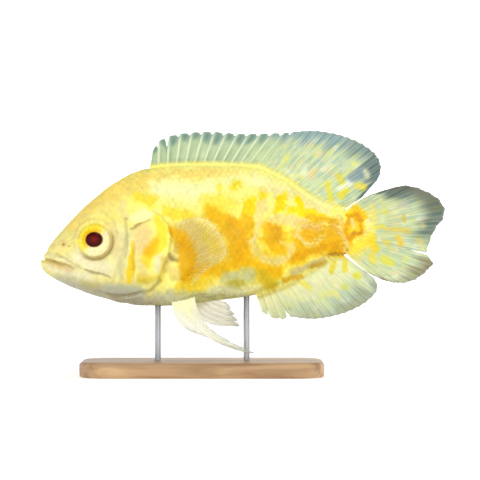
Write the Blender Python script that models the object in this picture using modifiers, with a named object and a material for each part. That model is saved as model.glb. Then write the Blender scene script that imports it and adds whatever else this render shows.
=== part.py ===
"""A yellow oscar, a pond and aquarium fish, as a life-size display model on a stand.

Sizes are in millimetres and become metres when a mesh is made. A place on the fish is (u, y, v):
u runs back from the tip of the lower lip, y runs across it with its left side negative, and v is
the height above the level of the tail stem. Each named part is one solid, with a thin gap between
neighbours.
"""

import math

import bmesh
import bpy
import numpy as np
from mathutils import Matrix, Vector

# Driving sizes
MM = 0.001
TOTAL_LENGTH = 160.5
AXIS_HEIGHT = 57.0
GAP = 0.3

# Body: distance behind the lip, back line, belly line, half width, and the level of the widest
# point as a share of the depth
BODY_STATIONS = np.array(
    [
        (0.0, -13.4, -13.4, 0.0, 0.50),
        (0.4, -12.1, -14.6, 1.9, 0.50),
        (1.5, -11.4, -16.0, 3.5, 0.50),
        (2.1, -7.4, -16.7, 4.2, 0.49),
        (4.4, -3.7, -18.3, 5.7, 0.47),
        (6.7, -0.9, -19.6, 6.7, 0.46),
        (11.5, 4.4, -21.8, 8.2, 0.45),
        (21.0, 13.5, -25.3, 10.3, 0.44),
        (30.6, 20.5, -27.9, 11.9, 0.44),
        (40.1, 24.8, -29.3, 12.7, 0.45),
        (52.0, 26.5, -29.4, 12.7, 0.46),
        (67.5, 26.8, -27.6, 12.0, 0.48),
        (83.8, 26.3, -25.4, 9.9, 0.50),
        (95.7, 21.8, -21.4, 7.6, 0.50),
        (102.8, 17.0, -17.9, 6.1, 0.50),
        (108.8, 12.9, -13.9, 4.9, 0.50),
        (114.7, 10.1, -10.4, 3.9, 0.50),
        (120.7, 9.1, -9.2, 2.9, 0.50),
        (124.7, 8.9, -9.2, 2.0, 0.50),
        (127.5, 7.6, -8.2, 1.3, 0.50),
        (129.0, 5.8, -6.6, 0.8, 0.50),
    ]
)
SECTION_POWER = 2.15
BODY_RINGS = 52
BODY_SIDES = 40
SNOUT_RING_SHARE = 0.35

# Head: centres and lines as (u, v)
EYE = (21.9, -3.5)
EYE_RADIUS = 6.6
EYE_DEPTH = 4.4
EYE_BULGE = 2.3
EYE_SUNK = 0.5
EYE_YAW = math.radians(10.0)
EYE_PITCH = math.radians(6.0)
PUPIL_RADIUS = 3.3
ORBIT_RING = 0.5
ORBIT_RING_WIDTH = 1.1
ORBIT_RING_OUT = 1.3
NOSTRIL = (9.2, -4.8)
NOSTRIL_RADIUS = 0.7
MOUTH_LINE = [(-4.0, -9.0), (2.1, -10.9), (8.0, -12.3), (13.9, -14.3)]
MOUTH_CORNER = 13.9
JAW_LINE = [(18.3, -15.4), (26.6, -17.2), (28.6, -20.0), (27.6, -25.0), (25.0, -33.0)]
MAXILLA_FOLD = [(10.3, -8.7), (13.1, -12.3), (16.3, -14.3), (18.3, -15.3), (26.6, -17.1)]
CHEEK_GROOVE = [(33.7, 5.6), (34.7, 0.0), (34.3, -4.8), (33.3, -11.1), (31.4, -17.5)]
THROAT_FOLD = [(21.0, -23.6), (27.4, -25.2), (33.3, -25.6), (38.7, -24.6), (42.9, -22.6)]
FOLD_DEPTH = 0.4
FOLD_WIDTH = 0.9
CHEEK_GROOVE_WIDTH = 1.2
LIP_OFFSET = 1.5
LIP_SWELL = 0.8
LIP_WIDTH = 1.2
GILL_REAR = [
    (44.5, 8.6),
    (48.0, 6.2),
    (50.3, 3.2),
    (51.6, -0.5),
    (51.4, -5.0),
    (50.4, -9.4),
    (48.9, -13.0),
    (47.7, -16.5),
    (46.2, -19.8),
    (43.4, -22.6),
    (39.5, -24.2),
]
GILL_FRONT = [(35.6, -21.5), (36.6, -12.0), (37.0, -2.0), (36.2, 6.5), (38.5, 9.2), (41.5, 9.6)]
GILL_INNER = 7.0
GILL_RAISE = 0.7
GILL_SLOPE = 5.0
GILL_SULCUS = 0.3
GILL_SULCUS_WIDTH = 2.5
NAPE_LINE = [(40.8, 33.0), (42.3, 22.0), (43.6, 14.0)]
THROAT_LINE = [(38.3, -28.0), (37.5, -34.0)]
TAIL_STEM_LINE = [(110.5, 20.0), (112.0, 8.0), (112.4, 0.0), (112.0, -8.0), (110.5, -20.0)]
FIN_LOBE = (53.6, -14.6)
FIN_LOBE_RADIUS = 4.0
FIN_LOBE_SWELL = 1.3
FIN_LOBE_FRONT = (50.0, 52.0)

# Fins: rays, edges that their tips follow as (u, v), and thicknesses
MEMBRANE = 0.5
RAY_ROOT = 1.3
RAY_TIP = 0.7
SPINE_ROOT = 1.8
SHEATH = 1.5
SUNK = 3.0
SPINE_NOTCH = 0.05
SOFT_NOTCH = 0.015
FIN_ROWS = 5

DORSAL_SPINES = 13
DORSAL_SOFT_RAYS = 19
DORSAL_SPINE_ROOTS = (43.2, 85.6)
DORSAL_SOFT_ROOTS = (88.2, 120.6)
DORSAL_FRONT_NOTCHES = (0.16, 0.27)
DORSAL_SPINE_EDGE = [
    (44.3, 32.4),
    (46.9, 36.5),
    (52.4, 38.7),
    (57.6, 39.5),
    (67.2, 40.1),
    (76.0, 39.3),
    (86.0, 39.2),
    (96.5, 39.5),
]
DORSAL_SOFT_EDGE = [
    (100.0, 39.8),
    (108.0, 40.4),
    (116.0, 39.4),
    (123.5, 37.2),
    (129.7, 34.0),
    (134.2, 29.8),
    (135.4, 25.6),
    (134.6, 22.0),
    (131.0, 17.7),
    (127.6, 13.8),
]

ANAL_SPINES = 3
ANAL_SOFT_RAYS = 16
ANAL_SPINE_ROOTS = (85.4, 90.8)
ANAL_SOFT_ROOTS = (93.0, 120.2)
ANAL_FRONT_NOTCHES = (0.22, 0.05, 0.18)
ANAL_SPINE_EDGE = [(87.9, -31.9), (91.8, -34.2), (95.6, -35.0)]
ANAL_SOFT_EDGE = [
    (99.0, -33.7),
    (107.6, -34.7),
    (116.0, -33.6),
    (123.5, -31.2),
    (130.8, -26.8),
    (134.0, -22.7),
    (133.2, -19.6),
    (130.0, -17.0),
]

TAIL_UPPER_RAYS = 12
TAIL_LOWER_RAYS = 8
TAIL_UPPER_EDGE = [
    (131.2, 14.7),
    (138.6, 17.3),
    (145.9, 18.7),
    (152.4, 16.7),
    (157.6, 13.9),
    (160.7, 9.5),
    (160.2, 5.4),
    (156.8, 1.4),
    (154.8, -2.8),
    (153.7, -6.9),
]
TAIL_LOWER_EDGE = [
    (153.4, -9.2),
    (156.2, -11.9),
    (152.8, -16.4),
    (147.5, -19.8),
    (141.7, -20.5),
    (137.0, -19.6),
    (132.0, -17.3),
]
TAIL_ROOTS = [(121.2, 7.4), (125.4, 4.0), (126.4, 0.0), (125.4, -4.4), (121.6, -7.6)]
TAIL_BOW = 0.8
TAIL_NOTCH = 0.27

PECTORAL_RAYS = 13
PECTORAL_ROOTS = [(52.6, -10.2), (53.9, -14.0), (55.2, -18.2)]
PECTORAL_EDGE = [
    (54.8, 3.6),
    (59.4, 5.4),
    (64.6, 5.9),
    (69.3, 3.2),
    (72.1, -1.2),
    (73.9, -6.0),
    (74.2, -8.9),
    (71.9, -11.3),
    (67.6, -13.8),
    (63.9, -16.8),
    (60.3, -21.0),
]
PECTORAL_ROOT_OUT = 10.6
PECTORAL_TIP_OUT = 18.6

# Each pelvic ray as root u, tip u, tip v, and how far it bows forward
PELVIC_ROOT_LEVEL = -25.0
PELVIC_ROOT_OUT = 4.2
LEFT_PELVIC_RAYS = [
    (52.2, 60.3, -39.6, 2.8),
    (54.0, 85.2, -47.8, 5.8),
    (55.8, 82.4, -46.3, 5.0),
    (57.6, 75.8, -43.5, 3.8),
    (59.4, 69.9, -40.2, 2.4),
    (61.2, 65.6, -36.9, 1.0),
]
LEFT_PELVIC_OUT = 13.0
RIGHT_PELVIC_RAYS = [
    (53.4, 69.4, -37.6, 2.2),
    (55.6, 79.0, -38.1, 3.4),
    (58.2, 78.4, -35.9, 2.6),
    (60.8, 77.0, -33.4, 1.8),
    (63.4, 75.6, -30.9, 1.0),
    (66.0, 74.2, -28.3, 0.3),
]
RIGHT_PELVIC_OUT = 17.0

# Stand
BASE_CENTRE = 64.0
BASE_LENGTH = 96.0
BASE_WIDTH = 52.0
BASE_THICKNESS = 6.0
BASE_CORNER = 12.0
BASE_EDGE = 1.2
ROD_RADIUS = 1.2
ROD_PLACES = {"stand_rod_front": 46.4, "stand_rod_rear": 81.6}
ROD_IN_BASE = 4.0
ROD_IN_BODY = 4.0

# Colours, as red, green and blue
FLESH = (0.93, 0.80, 0.36)
CHEEK = (0.95, 0.88, 0.55)
FIN = (0.72, 0.80, 0.62)
EYE_COLOUR = (0.85, 0.70, 0.25)
WOOD = (0.62, 0.47, 0.31)
STEEL = (0.60, 0.61, 0.62)


def clear_scene():
    for old in list(bpy.data.objects):
        bpy.data.objects.remove(old)


def new_collection(name):
    collection = bpy.data.collections.new(name)
    bpy.context.scene.collection.children.link(collection)
    return collection


def world(points):
    """Places on the fish, in millimetres, as points in metres in the model's frame."""
    points = np.asarray(points, float)
    moved = points + np.array([-TOTAL_LENGTH / 2, 0.0, AXIS_HEIGHT])
    return moved * MM


def steady_slopes(knots, values):
    """Slopes at the knots that keep a curve from passing beyond the values beside it."""
    rises = np.diff(values, axis=0) / np.diff(knots)[:, None]
    before, after = rises[:-1], rises[1:]
    same_way = before * after > 0
    total = np.where(same_way, before + after, 1.0)
    inner = np.where(same_way, 2 * before * after / total, 0.0)
    return np.vstack([rises[:1], inner, rises[-1:]])


def spline(knots, values, at, steady=False):
    """Smooth curve through the values at the knots, read at the places asked for."""
    knots = np.asarray(knots, float)
    values = np.asarray(values, float)
    slopes = steady_slopes(knots, values) if steady else np.gradient(values, knots, axis=0)
    at = np.clip(at, knots[0], knots[-1])
    left = np.clip(np.searchsorted(knots, at, side="right") - 1, 0, len(knots) - 2)
    span = knots[left + 1] - knots[left]
    t = ((at - knots[left]) / span)[..., None]
    span = span[..., None]
    return (
        (2 * t**3 - 3 * t**2 + 1) * values[left]
        + (t**3 - 2 * t**2 + t) * span * slopes[left]
        + (3 * t**2 - 2 * t**3) * values[left + 1]
        + (t**3 - t**2) * span * slopes[left + 1]
    )


def along(path, count):
    """Points spaced evenly along a smooth curve through a path."""
    path = np.asarray(path, float)
    knots = np.concatenate([[0.0], np.cumsum(np.linalg.norm(np.diff(path, axis=0), axis=1))])
    return spline(knots, path, np.linspace(0.0, knots[-1], count))


def smoothstep(low, high, value):
    t = np.clip((value - low) / (high - low), 0.0, 1.0)
    return t * t * (3 - 2 * t)


def bump(distance, width):
    return np.exp(-((distance / width) ** 2))


def path_distance(path, u, v):
    """Distance to a path of (u, v) points, and on which side: positive is to the path's right."""
    best = np.full(np.shape(u), 1e9)
    side = np.zeros(np.shape(u))
    for (u0, v0), (u1, v1) in zip(path[:-1], path[1:]):
        du, dv = u1 - u0, v1 - v0
        t = np.clip(((u - u0) * du + (v - v0) * dv) / (du * du + dv * dv), 0.0, 1.0)
        distance = np.hypot(u - u0 - t * du, v - v0 - t * dv)
        turn = (v - v0) * du - (u - u0) * dv
        nearer = distance < best
        best = np.where(nearer, distance, best)
        side = np.where(nearer, -np.sign(turn), side)
    return best, side


def body_section(u):
    """Back line, belly line, half width and widest level at a distance behind the lip."""
    knots = np.sqrt(BODY_STATIONS[:, 0])
    sizes = spline(knots, BODY_STATIONS[:, 1:], np.sqrt(np.asarray(u, float)), steady=True)
    top, bottom, width, share = np.moveaxis(sizes, -1, 0)
    return top, bottom, width, bottom + share * (top - bottom)


def half_width(u, v):
    """Distance from the middle plane to the flank at a place in the side view."""
    top, bottom, width, waist = body_section(u)
    reach = np.where(v > waist, top - waist, waist - bottom)
    share = np.clip(np.abs(v - waist) / reach, 0.0, 1.0)
    return width * (1 - share**SECTION_POWER) ** (1 / SECTION_POWER)


def relief(u, v):
    """How far the skin stands out from the plain body at a place in the side view."""
    from_eye = np.hypot(u - EYE[0], v - EYE[1])
    height = ORBIT_RING * bump(from_eye - EYE_RADIUS - ORBIT_RING_OUT, ORBIT_RING_WIDTH)

    mouth, _ = path_distance(MOUTH_LINE, u, v)
    lips = bump(mouth - LIP_OFFSET, LIP_WIDTH) * (1 - smoothstep(0.6, 1.0, u / MOUTH_CORNER))
    height = height + LIP_SWELL * lips

    for fold, width in (
        (MAXILLA_FOLD, FOLD_WIDTH),
        (THROAT_FOLD, FOLD_WIDTH),
        (CHEEK_GROOVE, CHEEK_GROOVE_WIDTH),
    ):
        from_fold, _ = path_distance(fold, u, v)
        height = height - FOLD_DEPTH * bump(from_fold, width)

    edge, side = path_distance(GILL_REAR, u, v)
    cover = np.where(side > 0, np.exp(-edge / GILL_SLOPE), 0.0)
    sulcus = np.where(side < 0, bump(edge, GILL_SULCUS_WIDTH), 0.0)
    height = height + GILL_RAISE * cover - GILL_SULCUS * sulcus

    lobe = np.hypot(u - FIN_LOBE[0], v - FIN_LOBE[1])
    return height + FIN_LOBE_SWELL * bump(lobe, FIN_LOBE_RADIUS) * smoothstep(*FIN_LOBE_FRONT, u)


def body_rings(grow=0.0):
    """The tip and the rings of points round the body, with the skin's relief, grown outwards."""
    part = np.linspace(1 / BODY_RINGS, 1.0, BODY_RINGS)[:, None]
    u = BODY_STATIONS[-1, 0] * (SNOUT_RING_SHARE * part + (1 - SNOUT_RING_SHARE) * part**2)
    turn = np.linspace(0.0, 2 * math.pi, BODY_SIDES, endpoint=False)[None, :]
    top, bottom, width, waist = body_section(u)
    power = 2 / SECTION_POWER
    across = np.sign(np.cos(turn)) * np.abs(np.cos(turn)) ** power
    upward = np.sign(np.sin(turn)) * np.abs(np.sin(turn)) ** power
    reach = np.where(upward > 0, top - waist, waist - bottom)
    rings = np.stack([u + 0 * turn, width * across, waist + reach * upward], axis=-1)

    lengthwise = np.gradient(rings, axis=0)
    round_about = np.roll(rings, -1, axis=1) - np.roll(rings, 1, axis=1)
    normals = np.cross(round_about, lengthwise)
    normals /= np.linalg.norm(normals, axis=-1, keepdims=True)
    raised = rings + normals * (relief(rings[..., 0], rings[..., 2]) + grow)[..., None]
    tip = np.array([-grow, 0.0, BODY_STATIONS[0, 1]])
    return tip, raised


def mesh_object(name, points, faces, collection):
    """An object with these world points in metres, its faces turned to point outwards."""
    mesh = bpy.data.meshes.new(name)
    mesh.from_pydata([tuple(p) for p in points], [], faces)
    shape = bmesh.new()
    shape.from_mesh(mesh)
    bmesh.ops.recalc_face_normals(shape, faces=shape.faces)
    shape.to_mesh(mesh)
    shape.free()
    made = bpy.data.objects.new(name, mesh)
    collection.objects.link(made)
    return made


def body_object(name, collection, grow=0.0):
    """The whole body as one loft from the lip to the end of the tail stem."""
    tip, rings = body_rings(grow)
    count, sides = rings.shape[:2]
    points = np.vstack([tip, rings.reshape(-1, 3)])
    faces = []
    for side in range(sides):
        after = (side + 1) % sides
        faces.append((0, 1 + side, 1 + after))
        for ring in range(count - 1):
            here, there = 1 + ring * sides, 1 + (ring + 1) * sides
            faces.append((here + side, there + side, there + after, here + after))
    faces.append(tuple(range(1 + (count - 1) * sides, 1 + count * sides)))
    return mesh_object(name, world(points), faces, collection)


def cutter(obj):
    """Marks an object as a tool that shapes others and isn't part of the model."""
    obj.hide_render = True
    obj.display_type = "WIRE"
    return obj


def prism(name, outline, low, high, collection):
    """A solid with a flat outline of (u, v) points, between two levels across the fish."""
    count = len(outline)
    points = [(u, y, v) for y in (low, high) for u, v in outline]
    faces = [tuple(range(count)), tuple(range(count, 2 * count))]
    for side in range(count):
        after = (side + 1) % count
        faces.append((side, after, count + after, count + side))
    return mesh_object(name, world(points), faces, collection)


def offset_path(path, distance, closed=False):
    """A path of (u, v) points moved sideways, to its left, by a distance."""
    path = np.asarray(path, float)
    if closed:
        ahead, behind = np.roll(path, -1, axis=0), np.roll(path, 1, axis=0)
    else:
        ahead = np.vstack([path[1:], path[-1:]])
        behind = np.vstack([path[:1], path[:-1]])
    course = ahead - behind
    course /= np.linalg.norm(course, axis=1, keepdims=True)
    return path + distance * np.stack([-course[:, 1], course[:, 0]], axis=1)


def knife(name, path, collection, reach=40.0):
    """A thin curved sheet right across the fish that parts it along a path."""
    left = offset_path(path, GAP / 2)
    right = offset_path(path, -GAP / 2)
    outline = np.vstack([left, right[::-1]])
    return cutter(prism(name, outline, -reach, reach, collection))


def gill_knife(name, side, collection, reach=40.0):
    """A thin cut behind and round one gill cover, with its floor at a set depth."""
    outline = along(GILL_REAR, 16).tolist() + GILL_FRONT
    outer = offset_path(outline, GAP / 2, closed=True)
    inner = offset_path(outline, -GAP / 2, closed=True)
    floor, surface = sorted((side * GILL_INNER, side * reach))
    made = prism(name, outer, floor, surface, collection)
    above = (side * (GILL_INNER + GAP), side * (reach + 1))
    core = cutter(prism(name + "_core", inner, min(above), max(above), collection))
    boolean(made, "DIFFERENCE", core)
    return cutter(made)


def boolean(obj, operation, other, solver="EXACT"):
    modifier = obj.modifiers.new(operation.title(), "BOOLEAN")
    modifier.operation = operation
    modifier.object = other
    modifier.solver = solver
    return modifier


def evaluated_mesh(obj):
    graph = bpy.context.evaluated_depsgraph_get()
    return bpy.data.meshes.new_from_object(obj.evaluated_get(graph))


def islands(mesh):
    """The separate pieces of a mesh, each as a set of vertex numbers."""
    owner = list(range(len(mesh.vertices)))

    def root(vertex):
        while owner[vertex] != vertex:
            owner[vertex] = owner[owner[vertex]]
            vertex = owner[vertex]
        return vertex

    for edge in mesh.edges:
        a, b = root(edge.vertices[0]), root(edge.vertices[1])
        owner[a] = b
    groups = {}
    for vertex in range(len(mesh.vertices)):
        groups.setdefault(root(vertex), set()).add(vertex)
    return list(groups.values())


def keep_island(mesh, wanted):
    """A copy of a mesh with only the vertices of one of its pieces."""
    shape = bmesh.new()
    shape.from_mesh(mesh)
    shape.verts.ensure_lookup_table()
    spare = [v for v in shape.verts if v.index not in wanted]
    bmesh.ops.delete(shape, geom=spare, context="VERTS")
    kept = bpy.data.meshes.new(mesh.name)
    shape.to_mesh(kept)
    shape.free()
    return kept


def material(name, colour, roughness, metallic=0.0):
    found = bpy.data.materials.get(name)
    if found:
        return found
    made = bpy.data.materials.new(name)
    made.use_nodes = True
    shader = made.node_tree.nodes["Principled BSDF"]
    shader.inputs["Base Color"].default_value = (*colour, 1.0)
    shader.inputs["Roughness"].default_value = roughness
    shader.inputs["Metallic"].default_value = metallic
    return made


def finish(obj, made_of, smooth=True):
    obj.data.materials.clear()
    obj.data.materials.append(made_of)
    if smooth:
        obj.data.shade_smooth()
        obj.data.set_sharp_from_angle(angle=math.radians(40))
    return obj


def part_body(body, knives, seeds, collection):
    """Cuts the body with the knives and names each piece by the seed point it lies nearest to."""
    for blade in knives:
        boolean(body, "DIFFERENCE", blade, "MANIFOLD")
    mesh = evaluated_mesh(body)
    pieces = islands(mesh)
    for name, (place, made_of) in seeds.items():
        seed = Vector(world(place))

        def nearest(piece, seed=seed):
            return min((mesh.vertices[v].co - seed).length for v in piece)

        piece = min(pieces, key=nearest)
        made = bpy.data.objects.new(name, keep_island(mesh, piece))
        collection.objects.link(made)
        finish(made, made_of)
    bpy.data.objects.remove(body)


def fin_columns(roots, tips, bows, retreat, rows):
    """Centre points of a fin: a column for each ray, and one for the membrane between each pair.

    A bow bends its ray, and retreat is how far the membrane stops short of the tips beside it.
    """
    t = np.linspace(0.0, 1.0, rows)[:, None]

    def ray(number, reach):
        part = t * reach
        straight = roots[number] + (tips[number] - roots[number]) * part
        return straight + 4 * part * (1 - part) * bows[number]

    columns = [ray(0, 1.0)]
    for number in range(1, len(roots)):
        reach = 1.0 - retreat[number - 1]
        columns.append((ray(number - 1, reach) + ray(number, reach)) / 2)
        columns.append(ray(number, 1.0))
    return np.array(columns)


def slab(name, centres, thickness, collection):
    """A thin closed sheet round a grid of centre points, split alike on both faces."""
    columns, rows = centres.shape[:2]
    normals = np.cross(np.gradient(centres, axis=0), np.gradient(centres, axis=1))
    normals /= np.linalg.norm(normals, axis=-1, keepdims=True)
    shift = normals * thickness[..., None] / 2
    points = np.concatenate([(centres - shift).reshape(-1, 3), (centres + shift).reshape(-1, 3)])
    back = columns * rows

    def at(column, row):
        return column * rows + row

    faces = []
    for column in range(columns - 1):
        for row in range(rows - 1):
            a, b = at(column, row), at(column + 1, row)
            c, d = at(column + 1, row + 1), at(column, row + 1)
            faces += [(a, b, c), (a, c, d), (back + a, back + c, back + b), (back + a, back + d, back + c)]
    rim = [at(column, 0) for column in range(columns)]
    rim += [at(columns - 1, row) for row in range(1, rows)]
    rim += [at(column, rows - 1) for column in range(columns - 2, -1, -1)]
    rim += [at(0, row) for row in range(rows - 2, 0, -1)]
    for here, after in zip(rim, rim[1:] + rim[:1]):
        faces += [(here, after, back + after), (here, back + after, back + here)]
    return mesh_object(name, world(points), faces, collection)


def ray_thickness(rays, rows, root, sheath=0.0):
    """Thickness at each point of a fin's grid: thick along the rays, thin between them."""
    t = np.linspace(0.0, 1.0, rows)[None, :]
    root = np.asarray(root, float).reshape(-1, 1) * np.ones((rays, 1))
    on_rays = root + (RAY_TIP - root) * t
    between = np.full((rays - 1, rows), MEMBRANE)
    grid = np.empty((2 * rays - 1, rows))
    grid[0::2] = on_rays
    grid[1::2] = between
    swell = np.asarray(sheath, float).reshape(-1, 1) * np.exp(-((t / 0.3) ** 2))
    return grid + swell


def interleave(values):
    """A value for each ray, and the mean of its neighbours for the membrane between."""
    grid = np.empty(2 * len(values) - 1)
    grid[0::2] = values
    grid[1::2] = (values[:-1] + values[1:]) / 2
    return grid


def flat_points(path, level=0.0):
    """Points (u, v) of a path as places on the fish at one level across it."""
    path = np.asarray(path, float)
    return np.stack([path[:, 0], np.full(len(path), level), path[:, 1]], axis=1)


def waving(centres, reach, waves, phase):
    """Moves a middle fin's grid sideways in slow waves that grow towards the tips."""
    columns, rows = centres.shape[:2]
    s = np.linspace(0.0, 1.0, columns)[:, None]
    t = np.linspace(0.0, 1.0, rows)[None, :]
    moved = centres.copy()
    moved[..., 1] += reach * t**1.5 * np.sin(2 * math.pi * waves * s + phase)
    return moved


def middle_fin(name, spine_roots, soft_roots, spine_tips, soft_tips, notches, edge_of_body, collection):
    """A dorsal or anal fin: spines in front, soft rays with a scaly sheath behind."""
    spines, soft = len(spine_tips), len(soft_tips)
    u = np.concatenate([np.linspace(*spine_roots, spines), np.linspace(*soft_roots, soft)])
    roots = flat_points(np.stack([u, edge_of_body(u)], axis=1))
    tips = flat_points(np.vstack([spine_tips, soft_tips]))
    course = (tips - roots) / np.linalg.norm(tips - roots, axis=1, keepdims=True)
    roots = roots - SUNK * course
    rays = spines + soft
    bows = np.zeros((rays, 3))
    retreat = np.concatenate([np.full(spines, SPINE_NOTCH), np.full(soft - 1, SOFT_NOTCH)])
    retreat[: len(notches)] = notches
    centres = fin_columns(roots, tips, bows, retreat, FIN_ROWS)
    centres = waving(centres, 1.4, 1.3, 0.4)
    root_size = np.concatenate([np.full(spines, SPINE_ROOT), np.full(soft, RAY_ROOT)])
    sheath = SHEATH * smoothstep(spines - 2, spines + 3, np.arange(rays))
    thickness = ray_thickness(rays, FIN_ROWS, root_size, interleave(sheath))
    return slab(name, centres, thickness, collection)


def dorsal_fin(collection):
    return middle_fin(
        "dorsal_fin",
        DORSAL_SPINE_ROOTS,
        DORSAL_SOFT_ROOTS,
        along(DORSAL_SPINE_EDGE, DORSAL_SPINES),
        along(DORSAL_SOFT_EDGE, DORSAL_SOFT_RAYS),
        DORSAL_FRONT_NOTCHES,
        lambda u: body_section(u)[0],
        collection,
    )


def anal_fin(collection):
    return middle_fin(
        "anal_fin",
        ANAL_SPINE_ROOTS,
        ANAL_SOFT_ROOTS,
        along(ANAL_SPINE_EDGE, ANAL_SPINES),
        along(ANAL_SOFT_EDGE, ANAL_SOFT_RAYS),
        ANAL_FRONT_NOTCHES,
        lambda u: body_section(u)[1],
        collection,
    )


def tail_fin(collection):
    """The tail fin, split between its upper and lower rays as in life."""
    rays = TAIL_UPPER_RAYS + TAIL_LOWER_RAYS
    tips = np.vstack([along(TAIL_UPPER_EDGE, TAIL_UPPER_RAYS), along(TAIL_LOWER_EDGE, TAIL_LOWER_RAYS)])
    roots = along(TAIL_ROOTS, rays)
    retreat = np.full(rays - 1, SOFT_NOTCH)
    retreat[TAIL_UPPER_RAYS - 1] = TAIL_NOTCH
    bows = np.zeros((rays, 3))
    bows[:, 2] = TAIL_BOW * np.linspace(1.0, -1.0, rays) ** 3
    centres = fin_columns(flat_points(roots), flat_points(tips), bows, retreat, FIN_ROWS + 1)
    centres = waving(centres, 1.8, 1.1, 0.9)
    thickness = ray_thickness(rays, FIN_ROWS + 1, RAY_ROOT, SHEATH / 2)
    return slab("tail_fin", centres, thickness, collection)


def pectoral_fin(name, side, collection):
    """A fan of soft rays held a little off the flank, behind the gill cover."""
    roots = flat_points(along(PECTORAL_ROOTS, PECTORAL_RAYS), side * PECTORAL_ROOT_OUT)
    tips = flat_points(along(PECTORAL_EDGE, PECTORAL_RAYS), side * PECTORAL_TIP_OUT)
    bows = np.zeros((PECTORAL_RAYS, 3))
    bows[:, 1] = side * 0.8
    retreat = np.full(PECTORAL_RAYS - 1, SOFT_NOTCH)
    centres = fin_columns(roots, tips, bows, retreat, FIN_ROWS)
    thickness = ray_thickness(PECTORAL_RAYS, FIN_ROWS, RAY_ROOT)
    return slab(name, centres, thickness, collection)


def pelvic_fin(name, side, rays, out, collection):
    """A pelvic fin: a spine and five soft rays, the first of them drawn out to a point."""
    table = np.array(rays)
    count = len(table)
    root_out = side * (PELVIC_ROOT_OUT + 0.35 * np.arange(count))
    roots = np.stack([table[:, 0], root_out, np.full(count, PELVIC_ROOT_LEVEL)], axis=1)
    reach = (table[:, 1] - table[:, 0]) / (table[1, 1] - table[1, 0])
    tip_out = side * (PELVIC_ROOT_OUT + (out - PELVIC_ROOT_OUT) * reach)
    tips = np.stack([table[:, 1], tip_out, table[:, 2]], axis=1)
    chord = tips - roots
    chord /= np.linalg.norm(chord, axis=1, keepdims=True)
    bows = np.stack([chord[:, 2], np.zeros(count), -chord[:, 0]], axis=1) * table[:, 3:4]
    retreat = np.full(count - 1, SPINE_NOTCH)
    centres = fin_columns(roots, tips, bows, retreat, FIN_ROWS + 2)
    root_size = np.array([SPINE_ROOT] + [RAY_ROOT] * (count - 1))
    thickness = ray_thickness(count, FIN_ROWS + 2, root_size)
    return slab(name, centres, thickness, collection)


def eye(name, side, grow, collection):
    """An eyeball turned from its outline, set in the head and facing a little forward and up."""
    radius, depth, bulge = EYE_RADIUS + grow, EYE_DEPTH + grow, EYE_BULGE + grow
    outline = []
    for step in range(7):
        angle = math.radians(90 * step / 6)
        r = radius * math.sin(angle)
        raised = 0.25 * (1 - smoothstep(PUPIL_RADIUS - 0.3, PUPIL_RADIUS + 0.3, r))
        outline.append((r, bulge * math.cos(angle) + raised))
    for step in range(1, 5):
        angle = math.radians(90 * step / 4)
        outline.append((radius * math.cos(angle), -depth * math.sin(angle)))
    shape = bmesh.new()
    line = [shape.verts.new((max(r, 0.0) * MM, 0.0, z * MM)) for r, z in outline]
    for a, b in zip(line[:-1], line[1:]):
        shape.edges.new((a, b))
    mesh = bpy.data.meshes.new(name)
    shape.to_mesh(mesh)
    shape.free()
    made = bpy.data.objects.new(name, mesh)
    collection.objects.link(made)
    turning = made.modifiers.new("Turn", "SCREW")
    turning.steps = turning.render_steps = 20
    turning.use_merge_vertices = True
    turning.merge_threshold = 0.00005
    out = float(half_width(*EYE)) - EYE_SUNK
    made.location = world((EYE[0], side * out, EYE[1]))
    facing = Vector((-math.sin(EYE_YAW), side * math.cos(EYE_YAW), math.sin(EYE_PITCH)))
    made.rotation_euler = facing.to_track_quat("Z", "Y").to_euler()
    return made


def nostril(name, side, collection):
    shape = bmesh.new()
    bmesh.ops.create_uvsphere(shape, u_segments=12, v_segments=8, radius=NOSTRIL_RADIUS * MM)
    mesh = bpy.data.meshes.new(name)
    shape.to_mesh(mesh)
    shape.free()
    made = bpy.data.objects.new(name, mesh)
    collection.objects.link(made)
    made.location = world((NOSTRIL[0], side * float(half_width(*NOSTRIL)), NOSTRIL[1]))
    return cutter(made)


def rod(name, place, grow, collection):
    """A round rod from inside the base to inside the belly."""
    belly = float(body_section(place)[1]) + AXIS_HEIGHT
    low = BASE_THICKNESS - ROD_IN_BASE - grow
    high = belly + ROD_IN_BODY + grow
    shape = bmesh.new()
    bmesh.ops.create_cone(
        shape,
        cap_ends=True,
        segments=24,
        radius1=(ROD_RADIUS + grow) * MM,
        radius2=(ROD_RADIUS + grow) * MM,
        depth=(high - low) * MM,
    )
    mesh = bpy.data.meshes.new(name)
    shape.to_mesh(mesh)
    shape.free()
    made = bpy.data.objects.new(name, mesh)
    collection.objects.link(made)
    made.location = ((place - TOTAL_LENGTH / 2) * MM, 0.0, (low + high) / 2 * MM)
    return made


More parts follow.
